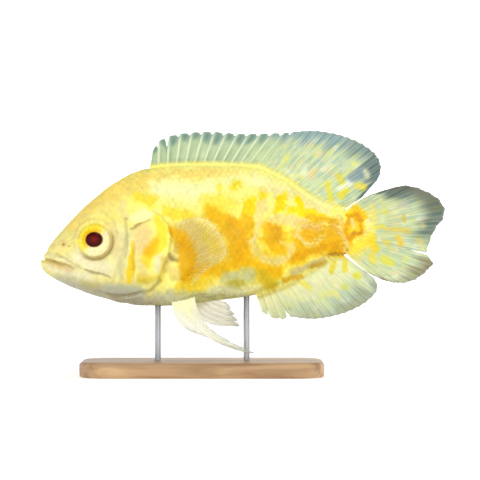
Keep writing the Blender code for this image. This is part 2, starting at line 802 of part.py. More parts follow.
def stand_base(sockets, collection):
    """A flat base with round corners and soft edges, and a socket for each rod."""
    outline = []
    for corner in range(4):
        across = 1 if corner in (0, 3) else -1
        upward = 1 if corner in (0, 1) else -1
        for step in range(6):
            angle = math.radians(90 * corner + 90 * step / 5)
            x = across * (BASE_LENGTH / 2 - BASE_CORNER) + BASE_CORNER * math.cos(angle)
            y = upward * (BASE_WIDTH / 2 - BASE_CORNER) + BASE_CORNER * math.sin(angle)
            outline.append((x, y))
    count = len(outline)
    points = [(x * MM, y * MM, z * MM) for z in (0.0, BASE_THICKNESS) for x, y in outline]
    faces = [tuple(range(count)), tuple(range(count, 2 * count))]
    faces += [(i, (i + 1) % count, count + (i + 1) % count, count + i) for i in range(count)]
    made = mesh_object("stand_base", points, faces, collection)
    made.location.x = (BASE_CENTRE - TOTAL_LENGTH / 2) * MM
    soft = made.modifiers.new("Soft edges", "BEVEL")
    soft.width = BASE_EDGE * MM
    soft.segments = 2
    soft.limit_method = "ANGLE"
    soft.angle_limit = math.radians(60)
    for socket in sockets:
        boolean(made, "DIFFERENCE", socket)
    return made


def main():
    clear_scene()
    fish = new_collection("oscar_fish")
    tools = new_collection("cutters")

    flesh = material("flesh", FLESH, 0.4)
    cheek = material("cheek", CHEEK, 0.4)
    fin = material("fin", FIN, 0.45)
    eyeball = material("eye", EYE_COLOUR, 0.1)
    wood = material("stand_wood", WOOD, 0.35)
    steel = material("stand_steel", STEEL, 0.3, metallic=1.0)

    sockets = []
    for name, place in ROD_PLACES.items():
        sockets.append(cutter(rod(name + "_socket", place, GAP, tools)))
        finish(rod(name, place, 0.0, fish), steel)
    finish(stand_base(sockets, fish), wood, smooth=False)

    knives = [
        knife("head_knife", NAPE_LINE + along(GILL_REAR, 16).tolist() + THROAT_LINE, tools),
        knife("jaw_knife", MOUTH_LINE + JAW_LINE, tools),
        knife("tail_stem_knife", TAIL_STEM_LINE, tools),
        *sockets,
    ]
    for side, hand in ((-1, "left"), (1, "right")):
        knives.append(gill_knife(f"gill_knife_{hand}", side, tools))
        knives.append(cutter(eye(f"eye_socket_{hand}", side, GAP, tools)))
        knives.append(nostril(f"nostril_{hand}", side, tools))
        finish(eye(f"eye_{hand}", side, 0.0, fish), eyeball)

    seeds = {
        "head": ((30.0, 0.0, 21.0), flesh),
        "lower_jaw": ((3.0, 0.0, -18.0), cheek),
        "gill_cover_left": ((43.0, -13.0, -5.0), cheek),
        "gill_cover_right": ((43.0, 13.0, -5.0), cheek),
        "trunk": ((70.0, 0.0, 27.0), flesh),
        "tail_stem": ((118.0, 0.0, 9.0), flesh),
    }
    part_body(body_object("body", fish), knives, seeds, fish)

    clearance = cutter(body_object("body_clearance", tools, grow=GAP))
    fins = [dorsal_fin(fish), anal_fin(fish), tail_fin(fish)]
    for side, hand in ((-1, "left"), (1, "right")):
        fins.append(pectoral_fin(f"pectoral_fin_{hand}", side, fish))
    fins.append(pelvic_fin("pelvic_fin_left", -1, LEFT_PELVIC_RAYS, LEFT_PELVIC_OUT, fish))
    fins.append(pelvic_fin("pelvic_fin_right", 1, RIGHT_PELVIC_RAYS, RIGHT_PELVIC_OUT, fish))
    for made in fins:
        boolean(made, "DIFFERENCE", clearance, "MANIFOLD")
        finish(made, fin)


main()
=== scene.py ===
"""The looks of a yellow oscar, a pond and aquarium fish, as a display model on a stand.

Sizes are in millimetres and become metres when a mesh is made. A place on the fish is (u, y, v):
u runs back from the tip of the lower lip, y runs across it with its left side negative, and v is
the height above the level of the tail stem. The body and the fins have the solids' own main sizes,
apart from the tail fin's root and the anal fin's rear tip, which are moved by up to 1 mm. Colours
are screen colours from 0 to 255.
"""

import math

import bpy
import numpy as np
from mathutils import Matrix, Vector

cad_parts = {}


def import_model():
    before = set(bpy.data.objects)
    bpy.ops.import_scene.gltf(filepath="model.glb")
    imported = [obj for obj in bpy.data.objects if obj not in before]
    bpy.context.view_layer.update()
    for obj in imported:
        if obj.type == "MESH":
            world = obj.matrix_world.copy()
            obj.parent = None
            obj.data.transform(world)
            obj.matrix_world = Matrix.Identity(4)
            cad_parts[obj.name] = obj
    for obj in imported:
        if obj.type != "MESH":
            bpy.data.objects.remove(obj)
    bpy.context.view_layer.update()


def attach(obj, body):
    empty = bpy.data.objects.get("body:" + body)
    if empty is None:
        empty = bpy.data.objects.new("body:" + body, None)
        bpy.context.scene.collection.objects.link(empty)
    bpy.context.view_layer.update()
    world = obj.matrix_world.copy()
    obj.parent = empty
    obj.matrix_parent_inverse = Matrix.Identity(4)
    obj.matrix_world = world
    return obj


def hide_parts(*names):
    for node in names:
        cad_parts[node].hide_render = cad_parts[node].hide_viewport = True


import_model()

# Driving sizes of the solids
MM = 0.001
TOTAL_LENGTH = 160.5
AXIS_HEIGHT = 57.0
SECTION_POWER = 2.15
SECTION_STEPS = 720
SIDES = {"left": -1, "right": 1}

# Body: distance behind the lip, back line, belly line, half width, share of the depth where it is widest
BODY_STATIONS = np.array([
    (0.0, -13.4, -13.4, 0.0, 0.50), (0.4, -12.1, -14.6, 1.9, 0.50), (1.5, -11.4, -16.0, 3.5, 0.50),
    (2.1, -7.4, -16.7, 4.2, 0.49), (4.4, -3.7, -18.3, 5.7, 0.47), (6.7, -0.9, -19.6, 6.7, 0.46),
    (11.5, 4.4, -21.8, 8.2, 0.45), (21.0, 13.5, -25.3, 10.3, 0.44), (30.6, 20.5, -27.9, 11.9, 0.44),
    (40.1, 24.8, -29.3, 12.7, 0.45), (52.0, 26.5, -29.4, 12.7, 0.46), (67.5, 26.8, -27.6, 12.0, 0.48),
    (83.8, 26.3, -25.4, 9.9, 0.50), (95.7, 21.8, -21.4, 7.6, 0.50), (102.8, 17.0, -17.9, 6.1, 0.50),
    (108.8, 12.9, -13.9, 4.9, 0.50), (114.7, 10.1, -10.4, 3.9, 0.50), (120.7, 9.1, -9.2, 2.9, 0.50),
    (124.7, 8.9, -9.2, 2.0, 0.50), (127.5, 7.6, -8.2, 1.3, 0.50), (129.0, 5.8, -6.6, 0.8, 0.50),
])
BODY_LENGTH = BODY_STATIONS[-1, 0]

# Head: centres and lines as (u, v)
EYE = (21.9, -3.5)
EYE_RADIUS = 6.6
EYE_DEPTH = 4.4
EYE_BULGE = 2.3
EYE_SUNK = 0.5
EYE_YAW = math.radians(10.0)
EYE_PITCH = math.radians(6.0)
LENS_BULGE = 0.22
PUPIL_RADIUS = 3.2
PUPIL_SHIFT = (0.15, 0.25)
NOSTRILS = [((9.2, -4.8), 0.75), ((11.6, -5.5), 0.35)]
PORES = [(34.3, 5.4), (35.2, 1.4), (34.6, -4.6), (28.4, 3.6), (25.4, 6.6), (15.0, 2.6)]
NOSTRIL_DEPTH = 0.9
NOSTRIL_RIM = 0.22
PORE_DEPTH = 0.25
PORE_RADIUS = 0.42
MOUTH_LINE = [(-4.0, -9.0), (2.1, -10.9), (8.0, -12.3), (13.9, -14.3)]
MOUTH_CORNER = 13.9
THROAT_FOLD = [(21.0, -23.6), (27.4, -25.2), (33.3, -25.6), (38.7, -24.6), (42.9, -22.6)]
GILL_REAR = [
    (44.5, 8.6), (48.0, 6.2), (50.3, 3.2), (51.6, -0.5), (51.4, -5.0), (50.4, -9.4), (48.9, -13.0),
    (47.7, -16.5), (46.2, -19.8), (43.4, -22.6), (39.5, -24.2),
]
GILL_CORNER = (37.0, 3.0)
GILL_RIBS = 34
GILL_RIB_HEIGHT = 0.05
GILL_STEP = 0.75
GILL_STEP_REACH = 5.0
GILL_GROOVE = (-0.4, 0.55, 0.6)
FIN_LOBE = (53.6, -14.6)
FIN_LOBE_RADIUS = 4.0
FIN_LOBE_SWELL = 1.3
FIN_LOBE_GROOVE = 0.35
FIN_LOBE_FRONT = (50.0, 52.0)
FIN_LOBE_REAR = (57.0, 54.0)

# Relief of the head: the height of a fold, its distance from the eye's rim, the mouth's slit or the
# gill cover's edge and its width, and for the mouth the share of the way to its corner where it ends
SOCKET_DEPTH = 2.6
EYE_FOLDS = [(-0.12, 0.15, 0.35), (0.6, 1.1, 0.8), (-0.35, 2.7, 0.7)]
MOUTH_FOLDS = [(0.95, 1.4, 1.0, 1.0), (-0.9, 0.0, 0.5, 1.1), (-0.35, 3.1, 0.6, 1.0)]
THROAT_RAY_PITCH = 1.25
THROAT_RAY_HEIGHT = 0.13
CREASE_ENDS = 0.12
GILL_ENDS = 0.15

# Creases of the cheek, jaw, throat and gill cover: depth, width and path
CREASES = [
    (0.62, 0.6, [(10.3, -8.7), (13.1, -12.3), (16.3, -14.3), (18.3, -15.3), (26.6, -17.1)]),
    (0.6, 0.6, THROAT_FOLD),
    (0.55, 0.9, [(33.7, 5.6), (34.7, 0.0), (34.3, -4.8), (33.3, -11.1), (31.4, -17.5)]),
    (0.45, 0.6, [(37.4, -3.6), (37.2, -11.9), (36.6, -20.0)]),
    (0.55, 0.5, [(36.1, 1.2), (38.1, 2.0), (40.1, 3.3), (42.5, 4.5), (45.0, 5.0)]),
]

# Middle fins: the numbers of spines and soft rays, where the roots of each start and end along the
# body, how deep the front notches are, and the edge through the tips of each
DORSAL_SPINES = 13
DORSAL_FIN = {
    "counts": (DORSAL_SPINES, 19),
    "roots": ((43.2, 85.6), (88.2, 120.6)),
    "front_notches": (0.16, 0.27),
    "edges": (
        [
            (44.3, 32.4), (46.9, 36.5), (52.4, 38.7), (57.6, 39.5), (67.2, 40.1), (76.0, 39.3),
            (86.0, 39.2), (96.5, 39.5),
        ],
        [
            (100.0, 39.8), (108.0, 40.4), (116.0, 39.4), (123.5, 37.2), (129.7, 34.0), (134.2, 29.8),
            (135.4, 25.6), (134.6, 22.0), (131.0, 17.7), (127.6, 13.8),
        ],
    ),
}
ANAL_SPINES = 3
ANAL_FIN = {
    "counts": (ANAL_SPINES, 16),
    "roots": ((85.4, 90.8), (93.0, 120.2)),
    "front_notches": (0.22, 0.05, 0.18),
    "edges": (
        [(87.9, -31.9), (91.8, -34.2), (95.6, -35.0)],
        [
            (99.0, -33.7), (107.6, -34.7), (116.0, -33.6), (123.5, -31.2), (130.8, -26.8),
            (134.0, -22.7), (133.2, -19.4), (130.2, -16.8),
        ],
    ),
}
BACK_LINE, BELLY_LINE = 0, 1
MIDDLE_FIN_WAVE = (1.4, 1.3, 0.4)
TAIL_WAVE = (1.8, 1.1, 0.9)
TAIL_RAYS = (12, 8)
TAIL_EDGES = (
    [
        (131.2, 14.7), (138.6, 17.3), (145.9, 18.7), (152.4, 16.7), (157.6, 13.9), (160.7, 9.5),
        (160.2, 5.4), (156.8, 1.4), (154.8, -2.8), (153.7, -6.9),
    ],
    [
        (153.4, -9.2), (156.2, -11.9), (152.8, -16.4), (147.5, -19.8), (141.7, -20.5), (137.0, -19.6),
        (132.0, -17.3),
    ],
)
TAIL_ROOTS = [(120.6, 8.2), (125.4, 4.2), (126.4, 0.0), (125.4, -4.8), (120.9, -8.2)]
TAIL_BOW = 0.8
TAIL_NOTCH = 0.31

# Paired fins: a pelvic ray is how far back its root is, its tip's (u, v) and its bow
PECTORAL_RAYS = 13
PECTORAL_ROOTS = [(52.6, -10.2), (53.9, -14.0), (55.2, -18.2)]
PECTORAL_EDGE = [
    (54.8, 3.6), (59.4, 5.4), (64.6, 5.9), (69.3, 3.2), (72.1, -1.2), (73.9, -6.0), (74.2, -8.9),
    (71.9, -11.3), (67.6, -13.8), (63.9, -16.8), (60.3, -21.0),
]
PECTORAL_ROOT_OUT = 10.6
PECTORAL_TIP_OUT = 18.6
PECTORAL_BOW = 0.8
PELVIC_ROOT_LEVEL = -25.0
PELVIC_ROOT_OUT = 4.2
PELVIC_ROOT_STEP = 0.35
PELVIC_TIPS_OUT = {"left": 13.0, "right": 17.0}
PELVIC_RAYS = {
    "left": [
        (52.2, 60.3, -39.6, 2.8), (54.0, 85.2, -47.8, 5.8), (55.8, 82.4, -46.3, 5.0),
        (57.6, 75.8, -43.5, 3.8), (59.4, 69.9, -40.2, 2.4), (61.2, 65.6, -36.9, 1.0),
    ],
    "right": [
        (53.4, 69.4, -37.6, 2.2), (55.6, 79.0, -38.1, 3.4), (58.2, 78.4, -35.9, 2.6),
        (60.8, 77.0, -33.4, 1.8), (63.4, 75.6, -30.9, 1.0), (66.0, 74.2, -28.3, 0.3),
    ],
}

# Stand
BASE_CENTRE = 64.0
BASE_LENGTH = 96.0
BASE_WIDTH = 52.0
BASE_THICKNESS = 6.0
BASE_CORNER = 12.0
BASE_EDGE = 1.2
ROD_RADIUS = 1.2
ROD_PLACES = {"stand_rod_front": 46.4, "stand_rod_rear": 81.6}
ROD_SUNK = 4.0
ROD_ROUNDING = 0.2
STAND_CREASE = math.radians(40.0)

# Fine surface of the skin; its lumps are height, size and seed
SKIN_LUMPS = [(0.10, 3.1, 11), (0.05, 1.2, 12)]
SKIN_INSIDE = 0.15
SKIN_COLUMNS = 288
RING_DENSITY_AT = [0.0, 3.0, 54.0, 60.0, 129.0]
RINGS_PER_MM = [6.0, 3.4, 3.1, 1.7, 1.7]
FLESH = ("head", "lower_jaw", "gill_cover_left", "gill_cover_right", "trunk", "tail_stem")

# Scales
SCALE_PITCH = 2.3
SCALE_ROW_PITCH = 2.05
SCALE_ROWS = 22
SCALE_SHRINK_AT = [30.0, 48.0, 92.0, 127.0]
SCALE_SHRINK = [0.72, 1.0, 1.0, 0.62]
SCALE_LENGTH = 1.5
SCALE_WIDTH = 1.22
SCALE_LIFT = 0.12
SCALE_THICKNESS = 0.05
SCALE_CELLS = 5
SCALES_REACH = (28.0, 127.0)
SCALE_SEED = 5
SCALE_HIDDEN = 0.28
SCALE_ROOM = 0.45
SCALE_TUCK = 0.45
SCALE_DOME = 0.25
SCALE_ROUNDING = 0.34
SCALE_NARROWING = 0.14
SCALE_REACH_CHANCE = 0.06
SCALE_RISE_CHANCE = 0.02
SCALE_TONE_CHANCE = 0.025
SCALE_CREASE = math.radians(60.0)
SCALED_FROM = [
    (35.5, -31.0), (42.0, -25.4), (46.6, -22.4), (49.4, -18.0), (51.4, -11.0), (52.9, -5.0), (53.0, 0.0),
    (51.4, 4.6), (47.0, 8.6), (41.0, 10.6), (36.0, 13.0), (31.0, 17.0), (28.0, 22.0),
]
UNWRAP_PATCH = 0.003
STEM_ROW_PITCH = 1.7

# Fine surface of the fins and eyes
FIN_STEPS = 16
FIN_ROWS = 44
LONG_FIN_ROWS = 56
FIN_MEMBRANE = 0.22
FIN_SUNK = 2.0
FRINGE = 0.014
SHEATH = 4.2
SHEATH_REACH = 1.25
RAY_HEIGHT = 0.75
PECTORAL_RAY_HEIGHT = 0.16
PELVIC_RAY_HEIGHT = 0.5
RAY_WIDTH = 0.15
RAY_NARROWING = 0.08
RAY_TAPER = 0.72
RAY_FORK = 0.19
RAY_TWIG = 0.085
SPINE_EXTRA = 0.45
RIM_THINNING = 0.55
ROOT_FADE_AT = [80.0, 100.0, 120.0, 130.0]
ROOT_FADE = [2.3, 3.4, 3.4, 3.8]
ROOT_RAGGED = [0.1, 0.2, 0.2, 0.45]
SPINE_NOTCH = 0.06
NOTCH_AT = 0.82
NOTCH_WIDTH = 0.14
LAPPET_TOP = 0.42
SOFT_NOTCH = 0.012
EYE_RINGS = 44
EYE_SIDES = 96

# Camera, floor and light
FRAME_WIDTH = 190.6
FRAME_MIDDLE = (79.0, -3.2)
CAMERA_LENS = 200.0
CAMERA_SENSOR = 36.0
BACKDROP_REACH = 2.6
BACKDROP_BEND = 0.5
BACKDROP_HEIGHT = 1.2
BACKDROP_GLOW_AT = [0.0, 0.5, 1.5, 3.0]
BACKDROP_GLOW = [0.42, 0.46, 0.78, 0.92]
BACKDROP_TONE = (0.93, 0.93, 0.92, 1.0)
WHITE = (1.0, 1.0, 1.0, 1.0)
WORLD_LIGHT = 0.23
LIGHT_TARGET = (0.0, 0.0, 0.055)

# Lights: name, place, size and power
LIGHTS = [
    ("key_light", (-0.15, -0.9, 0.9), 0.3, 2.45),
    ("fill_light", (0.35, -0.95, 0.24), 0.4, 0.95),
    ("back_light", (0.1, 0.1, 0.9), 0.6, 2.1),
]

# Colours of the body
PALE_YELLOW = (251, 240, 128)
LEMON = (250, 247, 170)
GOLD = (248, 217, 105)
YELLOW = (250, 222, 60)
ORANGE = (236, 182, 5)
DEEP_ORANGE = (218, 154, 2)
BROWN_ORANGE = (186, 148, 30)
OLIVE = (188, 172, 60)
CREAM = (243, 242, 172)
PALE_CREAM = (246, 244, 196)
PINKISH = (236, 208, 138)
RING = (240, 214, 128)
GREY_CREAM = (194, 194, 168)
GREY_GREEN = (186, 190, 142)
# Brown of the painted shade in the head's creases and pits
BROWN = (120, 100, 52)
# Brown of the painted shade in the creases at the pelvic fins' roots
CREASE_SHADE_BROWN = (124, 112, 60)
EYE_SHADOW = (150, 128, 70)
SNOUT_YELLOW = (240, 235, 146)
HEAD_PINK = (236, 214, 150)
HEAD_TINT = (0.95, 0.93, 0.95)

# Colours of the eye
IRIS_CREAM = (244, 230, 172)
IRIS_YELLOW = (248, 224, 62)
IRIS_GOLD = (236, 178, 22)
IRIS_GREEN = (226, 230, 176)
# Brown of the painted shade on the iris's rim, behind and below
IRIS_RIM_SHADE = (190, 160, 90)
PUPIL_RIM = (120, 60, 24)
PUPIL_DARK = (52, 3, 1)
PUPIL_RED = (116, 12, 5)

# Colours of the fins
FIN_PALE = (208, 219, 172)
FIN_GREEN = (168, 190, 150)
FIN_TEAL = (148, 178, 168)
FIN_BLUE = (112, 144, 156)
FIN_DARK_GREEN = (96, 132, 112)
FIN_SLATE = (70, 90, 87)
FIN_GREY = (158, 172, 160)
FIN_OLIVE = (124, 122, 88)
FIN_BROWN = (104, 92, 60)
FIN_CREAM = (238, 234, 180)
FIN_YELLOW = (208, 206, 134)
FIN_RIM = (132, 138, 132)
SPINE_WHITE = (234, 242, 218)
PECTORAL_PINK = (220, 196, 116)
PECTORAL_REAR = (216, 204, 122)
PECTORAL_YELLOW = (226, 208, 50)
PELVIC_CREAM = (252, 248, 196)
PELVIC_WHITE = (253, 252, 230)
PELVIC_GREEN = (240, 242, 204)
PELVIC_GREY = (176, 176, 162)

# Colours of the stand
OAK_DARK = (150, 112, 74)
OAK_PALE = (206, 170, 124)
STEEL = (150, 152, 155)

# The pectoral fin's marks; its dapples are tint, size and seed
PECTORAL_WEDGE = [(53.2, 1.4, 0.6), (56.6, -3.4), (58.6, -9.0, 1.4), (58.0, -15.0, 1.4), (57.6, -20.0)]
PECTORAL_SPOT = [(65.4, -1.5), (68.7, -7.6)]
PECTORAL_DAPPLES = [((206, 184, 58), 2.3, 71), ((236, 214, 142), 1.7, 73), ((200, 182, 124), 1.9, 75)]

# Small dabs on the middle fins: tint, strength and seed
FIN_DABS = [
    ((226, 204, 164), 0.5, 53), ((170, 190, 194), 0.45, 55), ((226, 222, 120), 0.5, 57),
    ((236, 238, 214), 0.5, 59),
]

# Marks on the flank: colour, strength, brush radius, softness and path
BLOTCHES = [
    ((250, 220, 110), 0.85, 2.2, 1.8, [(42, 21.4), (52, 22.8), (60, 23.2), (76, 23.4)]),
    # A pale stripe along the crest of the head: partly its own colour, partly painted light that brightens
    # the top edge where it turns from the lamps
    ((255, 242, 126), 0.9, 1.7, 1.3, [(8, 1.6), (21, 14), (31, 20.6), (40, 24.6), (52, 26.2)]),
    ((255, 243, 138), 0.9, 1.2, 1.1, [(52, 26.2), (67, 26.6), (84, 26.2), (96, 21.6)]),
    (GOLD, 0.8, 3.6, 2.6, [(29, 14.6), (36, 17.6), (42, 20)]),
    (LEMON, 0.95, 3.1, 2.4, [(46, 17.4), (56, 17.6), (66, 16.8)]),
    (PALE_CREAM, 0.3, 2.6, 2, [(48, 15), (58, 14), (66, 13.6)]),
    (LEMON, 0.75, 2.6, 2, [(66, 17.2), (76, 20.6), (86, 20.6)]),
    (LEMON, 0.8, 2.4, 2, [(86, 20.4), (94, 17.6), (101, 14), (112, 9.4)]),
    (PINKISH, 0.4, 2, 2, [(90, 18), (100, 14.4), (112, 8.4)]),
    (YELLOW, 0.95, 2.2, 1.4, [(38.6, 13.4), (44, 12.4)]),
    (YELLOW, 0.95, 2, 1.2, [(49.5, 7.6), (56, 6.6), (60, 5.4)]),
    (YELLOW, 0.7, 3, 2.2, [(66.5, 12), (74, 10.4)]),
    (ORANGE, 0.95, 3.2, 1.6, [(67.5, 7.6, 0.9), (72, 5)]),
    (ORANGE, 1, 6, 1.8, [(76, -1), (80, -4.6)]),
    (ORANGE, 0.95, 2.6, 1.2, [(82.6, 9.4), (81.4, 3)]),
    ((250, 226, 90), 0.75, 1.8, 1.4, [(75, 9.6), (76.2, 6, 0.7)]),
    (ORANGE, 1, 5.6, 2, [(74, -8), (80, -10)]),
    (ORANGE, 1, 4.6, 1.6, [(84, -12), (92, -14.6)]),
    (ORANGE, 1, 4.6, 1.4, [(92.4, 0.2), (93.6, -4.4)]),
    (ORANGE, 1, 4.6, 1.6, [(101, -8.6), (104, -2), (112, -3), (119, -5.6)]),
    ((218, 194, 100), 0.9, 5.4, 2.2, [(59, -1), (64, -4), (66.5, -9)]),
    ((228, 212, 116), 0.6, 2, 1.4, [(72.6, -3), (73.4, -9), (70, -12.6)]),
    (ORANGE, 1, 2.5, 1.3, PECTORAL_WEDGE),
    (ORANGE, 0.95, 2.8, 1.6, [(60, -17), (66, -15.4), (72, -15)]),
    ((240, 208, 44), 0.85, 2.6, 1.6, [(56, -22), (62, -21), (67, -20)]),
    (DEEP_ORANGE, 0.55, 2.6, 2.2, [(76, 2.5), (80.5, -3.5), (78, -10)]),
    (DEEP_ORANGE, 0.7, 2.4, 1.6, [(92.8, 1.2), (93.6, -3)]),
    (DEEP_ORANGE, 0.75, 2, 1.6, [(100, -9.6), (108, -7), (119, -6)]),
    ((250, 214, 4), 0.95, 2.4, 1.2, [(83.2, 11.2), (84, 9)]),
    ((248, 214, 4), 1, 1.7, 0.9, [(96.5, 14.2), (94.4, 9.4)]),
    ((250, 218, 10), 1, 1.5, 0.9, [(101.6, 12.2), (105.2, 8.8)]),
    ((255, 222, 10), 0.95, 1.4, 1.2, [(98.5, 7.6), (106, 7), (112, 6.2)]),
    (ORANGE, 0.9, 1.2, 0.9, [(107, 5.4), (113, 4.8), (118, 4.6)]),
    (GREY_GREEN, 0.8, 2.6, 1.6, [(74, -17.8), (83, -17)]),
    (OLIVE, 0.95, 1.8, 1.1, [(75.8, -21.4), (79.4, -20.2)]),
    ((208, 176, 30), 0.9, 2.8, 1.6, [(87.5, -18.4), (91, -21)]),
    ((230, 204, 146), 0.6, 1.5, 1.2, [(90.6, 5.4), (100, 4), (110.6, 1.8)]),
    (RING, 0.9, 1.6, 1, [(87.7, 16.5), (88.5, 12.7, 0.8), (86.9, 6.8), (85.8, 2), (84.6, -4)]),
    (RING, 0.9, 1.5, 1, [(84.6, -4), (85.8, -8.3), (89.3, -11.5), (94.1, -11.9)]),
    (RING, 0.9, 1.3, 0.9, [(94.1, -11.9), (97.9, -9.5), (99.1, -5.4), (96.6, -4, 0.7)]),
    ((196, 176, 70), 0.35, 1.3, 1.2, [(85.4, -5), (88.6, -10.6), (94, -11.4)]),
    (PINKISH, 0.3, 1.2, 1.2, [(78.8, -0.6)]),
    (RING, 0.9, 1.1, 0.8, [(105.2, 3.4), (102, 2.4), (101.5, -0.4), (104.4, -4)]),
    (RING, 0.9, 1.1, 0.8, [(104.4, -4), (108.6, -4.8), (111.2, -1.4)]),
    ((230, 178, 104), 0.9, 0.7, 0.6, [(104, 2), (110, 1.8)]),
    (ORANGE, 0.95, 1.4, 0.7, [(107, -1.4)]),
    ((224, 174, 78), 0.85, 1.4, 1, [(115.3, 2.6), (118.4, -0.4)]),
    (PINKISH, 0.9, 0.9, 0.9, [(117.9, 5.2), (120.2, -1.6), (121.4, -8.6)]),
    ((196, 178, 118), 0.85, 1.1, 0.9, [(100.4, -16), (105.6, -13.4), (112, -10.6)]),
    ((214, 166, 28), 0.9, 1.2, 0.8, [(97, -19.2), (103.2, -17.6)]),
    (BROWN_ORANGE, 0.9, 1.1, 0.8, [(106.6, -14.4), (113.1, -11.6)]),
    ((150, 116, 34), 0.75, 0.6, 0.7, [(114.6, -8.9), (120.3, -8.6)]),
    (GREY_GREEN, 0.75, 2.2, 1.8, [(61, -25.4), (70, -24.4), (80, -23.6)]),
    (PALE_CREAM, 0.5, 1.6, 1.6, [(66, -22.4), (76, -23.8), (86, -22)]),
    (GREY_CREAM, 0.7, 2.4, 2, [(38, -27.6), (50, -26), (56, -24.6)]),
    # Painted shade: two brown lines in the creases at the pelvic fin's root
    (CREASE_SHADE_BROWN, 0.5, 0.3, 0.6, [(56.6, -26.4, 0.6), (61, -24.9, 1.2), (66, -23.9, 0.5)]),
    (CREASE_SHADE_BROWN, 0.4, 0.3, 0.6, [(62.6, -25.8, 0.6), (68, -25.5, 1.2), (73, -25.8, 0.5)]),
    (YELLOW, 0.95, 1.8, 1.4, [(71.2, 17.9)]),
    ((240, 220, 40), 1, 2, 1.3, [(77.6, 18)]),
    ((240, 214, 30), 1, 1.9, 1.2, [(88.3, 13.9)]),
    ((250, 206, 20), 1, 4.2, 1, [(124.4, 1.8), (124.9, 5.8)]),
    ((228, 158, 4), 0.9, 0.9, 0.8, [(124.6, 7.6), (121.9, 5.4), (121.2, 1), (122.6, -2.4)]),
    ((228, 158, 4), 0.9, 0.9, 0.8, [(122.6, -2.4), (126.6, 0), (127.6, 4), (125.4, 7.2)]),
    ((246, 214, 122), 1, 0.9, 0.7, [(123.5, 4.8), (124, 2.4)]),
    ((206, 140, 8), 0.8, 0.9, 0.7, [(124.4, -0.6), (126.2, 0.2)]),
    ((238, 228, 150), 0.85, 0.8, 0.7, [(129.8, 8), (130.7, 2.4), (127, -4)]),
    (YELLOW, 0.95, 1.6, 1, [(123.6, -7.6), (126, -6), (129.6, -3)]),
]

# Marks on the middle fins
FIN_SPOTS = [
    ((226, 212, 30), 1, 1.1, 0.6, [(113.8, 19.8, 0.7), (115, 12.4)]),
    ((224, 210, 40), 1, 1.2, 0.6, [(118.2, 22.6, 0.8), (119.4, 19.6)]),
    ((230, 214, 30), 1, 1.5, 0.7, [(119.2, 14.2), (121.4, 16.4, 0.7)]),
    ((236, 216, 60), 0.95, 1.4, 0.8, [(125.8, 18.6), (128.4, 17.6, 0.8)]),
    ((246, 246, 224), 0.9, 1.1, 0.7, [(118.6, 17.2), (122.4, 19.4)]),
    ((236, 206, 130), 0.8, 1, 0.8, [(107.4, 22.8), (108.8, 24.6)]),
    ((236, 206, 170), 0.7, 1.2, 0.8, [(110.6, 30.6)]),
    ((222, 222, 120), 0.7, 1.1, 0.8, [(95.4, 27), (97.4, 29.8)]),
    ((226, 216, 150), 0.7, 1.1, 0.8, [(102, 26.8), (104, 28.4)]),
    ((112, 138, 160), 0.9, 1.9, 1, [(123.4, 21.4), (127.6, 23.4)]),
    ((222, 226, 120), 0.95, 1.4, 0.8, [(124.3, 27.2)]),
    ((228, 226, 176), 0.9, 1.3, 0.8, [(129, 24), (129.4, 22, 0.8)]),
    ((220, 198, 30), 1, 1.1, 0.6, [(116.2, -11.8), (115.2, -16.2, 0.8)]),
    ((228, 210, 40), 1, 1, 0.6, [(120.8, -12.2), (120.6, -15.4, 0.8)]),
    ((222, 212, 40), 1, 1.6, 0.7, [(125.5, -17.4)]),
    ((206, 210, 70), 0.9, 1.2, 0.7, [(120.4, -21.8)]),
    ((230, 216, 70), 0.9, 1.3, 0.8, [(104, -20.4), (106.8, -22.6, 0.7)]),
    ((224, 224, 110), 0.6, 1.5, 1.2, [(112.6, -25), (116, -23.8)]),
    ((240, 216, 16), 1, 1.4, 0.8, [(125.6, -6.6), (131.4, -4.6)]),
    ((236, 206, 20), 1, 1.6, 0.8, [(130.6, -1.4), (132.6, -6.6)]),
    ((236, 216, 70), 0.9, 1.5, 0.8, [(131, -9.4), (132, -11.4)]),
    ((230, 208, 50), 0.9, 0.8, 0.6, [(131.6, 2.2), (137, 1.8)]),
    ((236, 216, 110), 0.85, 1.2, 0.8, [(131.4, 10.4), (132.4, 4.4)]),
    ((228, 212, 80), 0.85, 1.1, 0.7, [(136.6, 7.6)]),
    ((204, 178, 50), 0.95, 0.9, 0.6, [(144.2, 6), (144.6, 4.2)]),
    ((218, 194, 70), 0.85, 0.8, 0.6, [(138.8, 0.8), (146.4, 0.4)]),
    ((234, 196, 50), 0.95, 1, 0.7, [(141.6, -2.4), (142.8, -4.8)]),
    ((224, 206, 70), 0.85, 1.1, 0.8, [(137.2, -4.2)]),
    ((226, 220, 60), 0.95, 1.5, 0.8, [(136.4, -10.8), (139.4, -12.2)]),
    ((226, 206, 110), 0.8, 1.3, 0.9, [(150.6, -3.8)]),
    ((222, 210, 130), 0.7, 1.1, 0.8, [(151.4, 2.6)]),
    ((216, 196, 176), 0.5, 1.1, 0.9, [(142, 9.6), (144.6, 11.2)]),
]

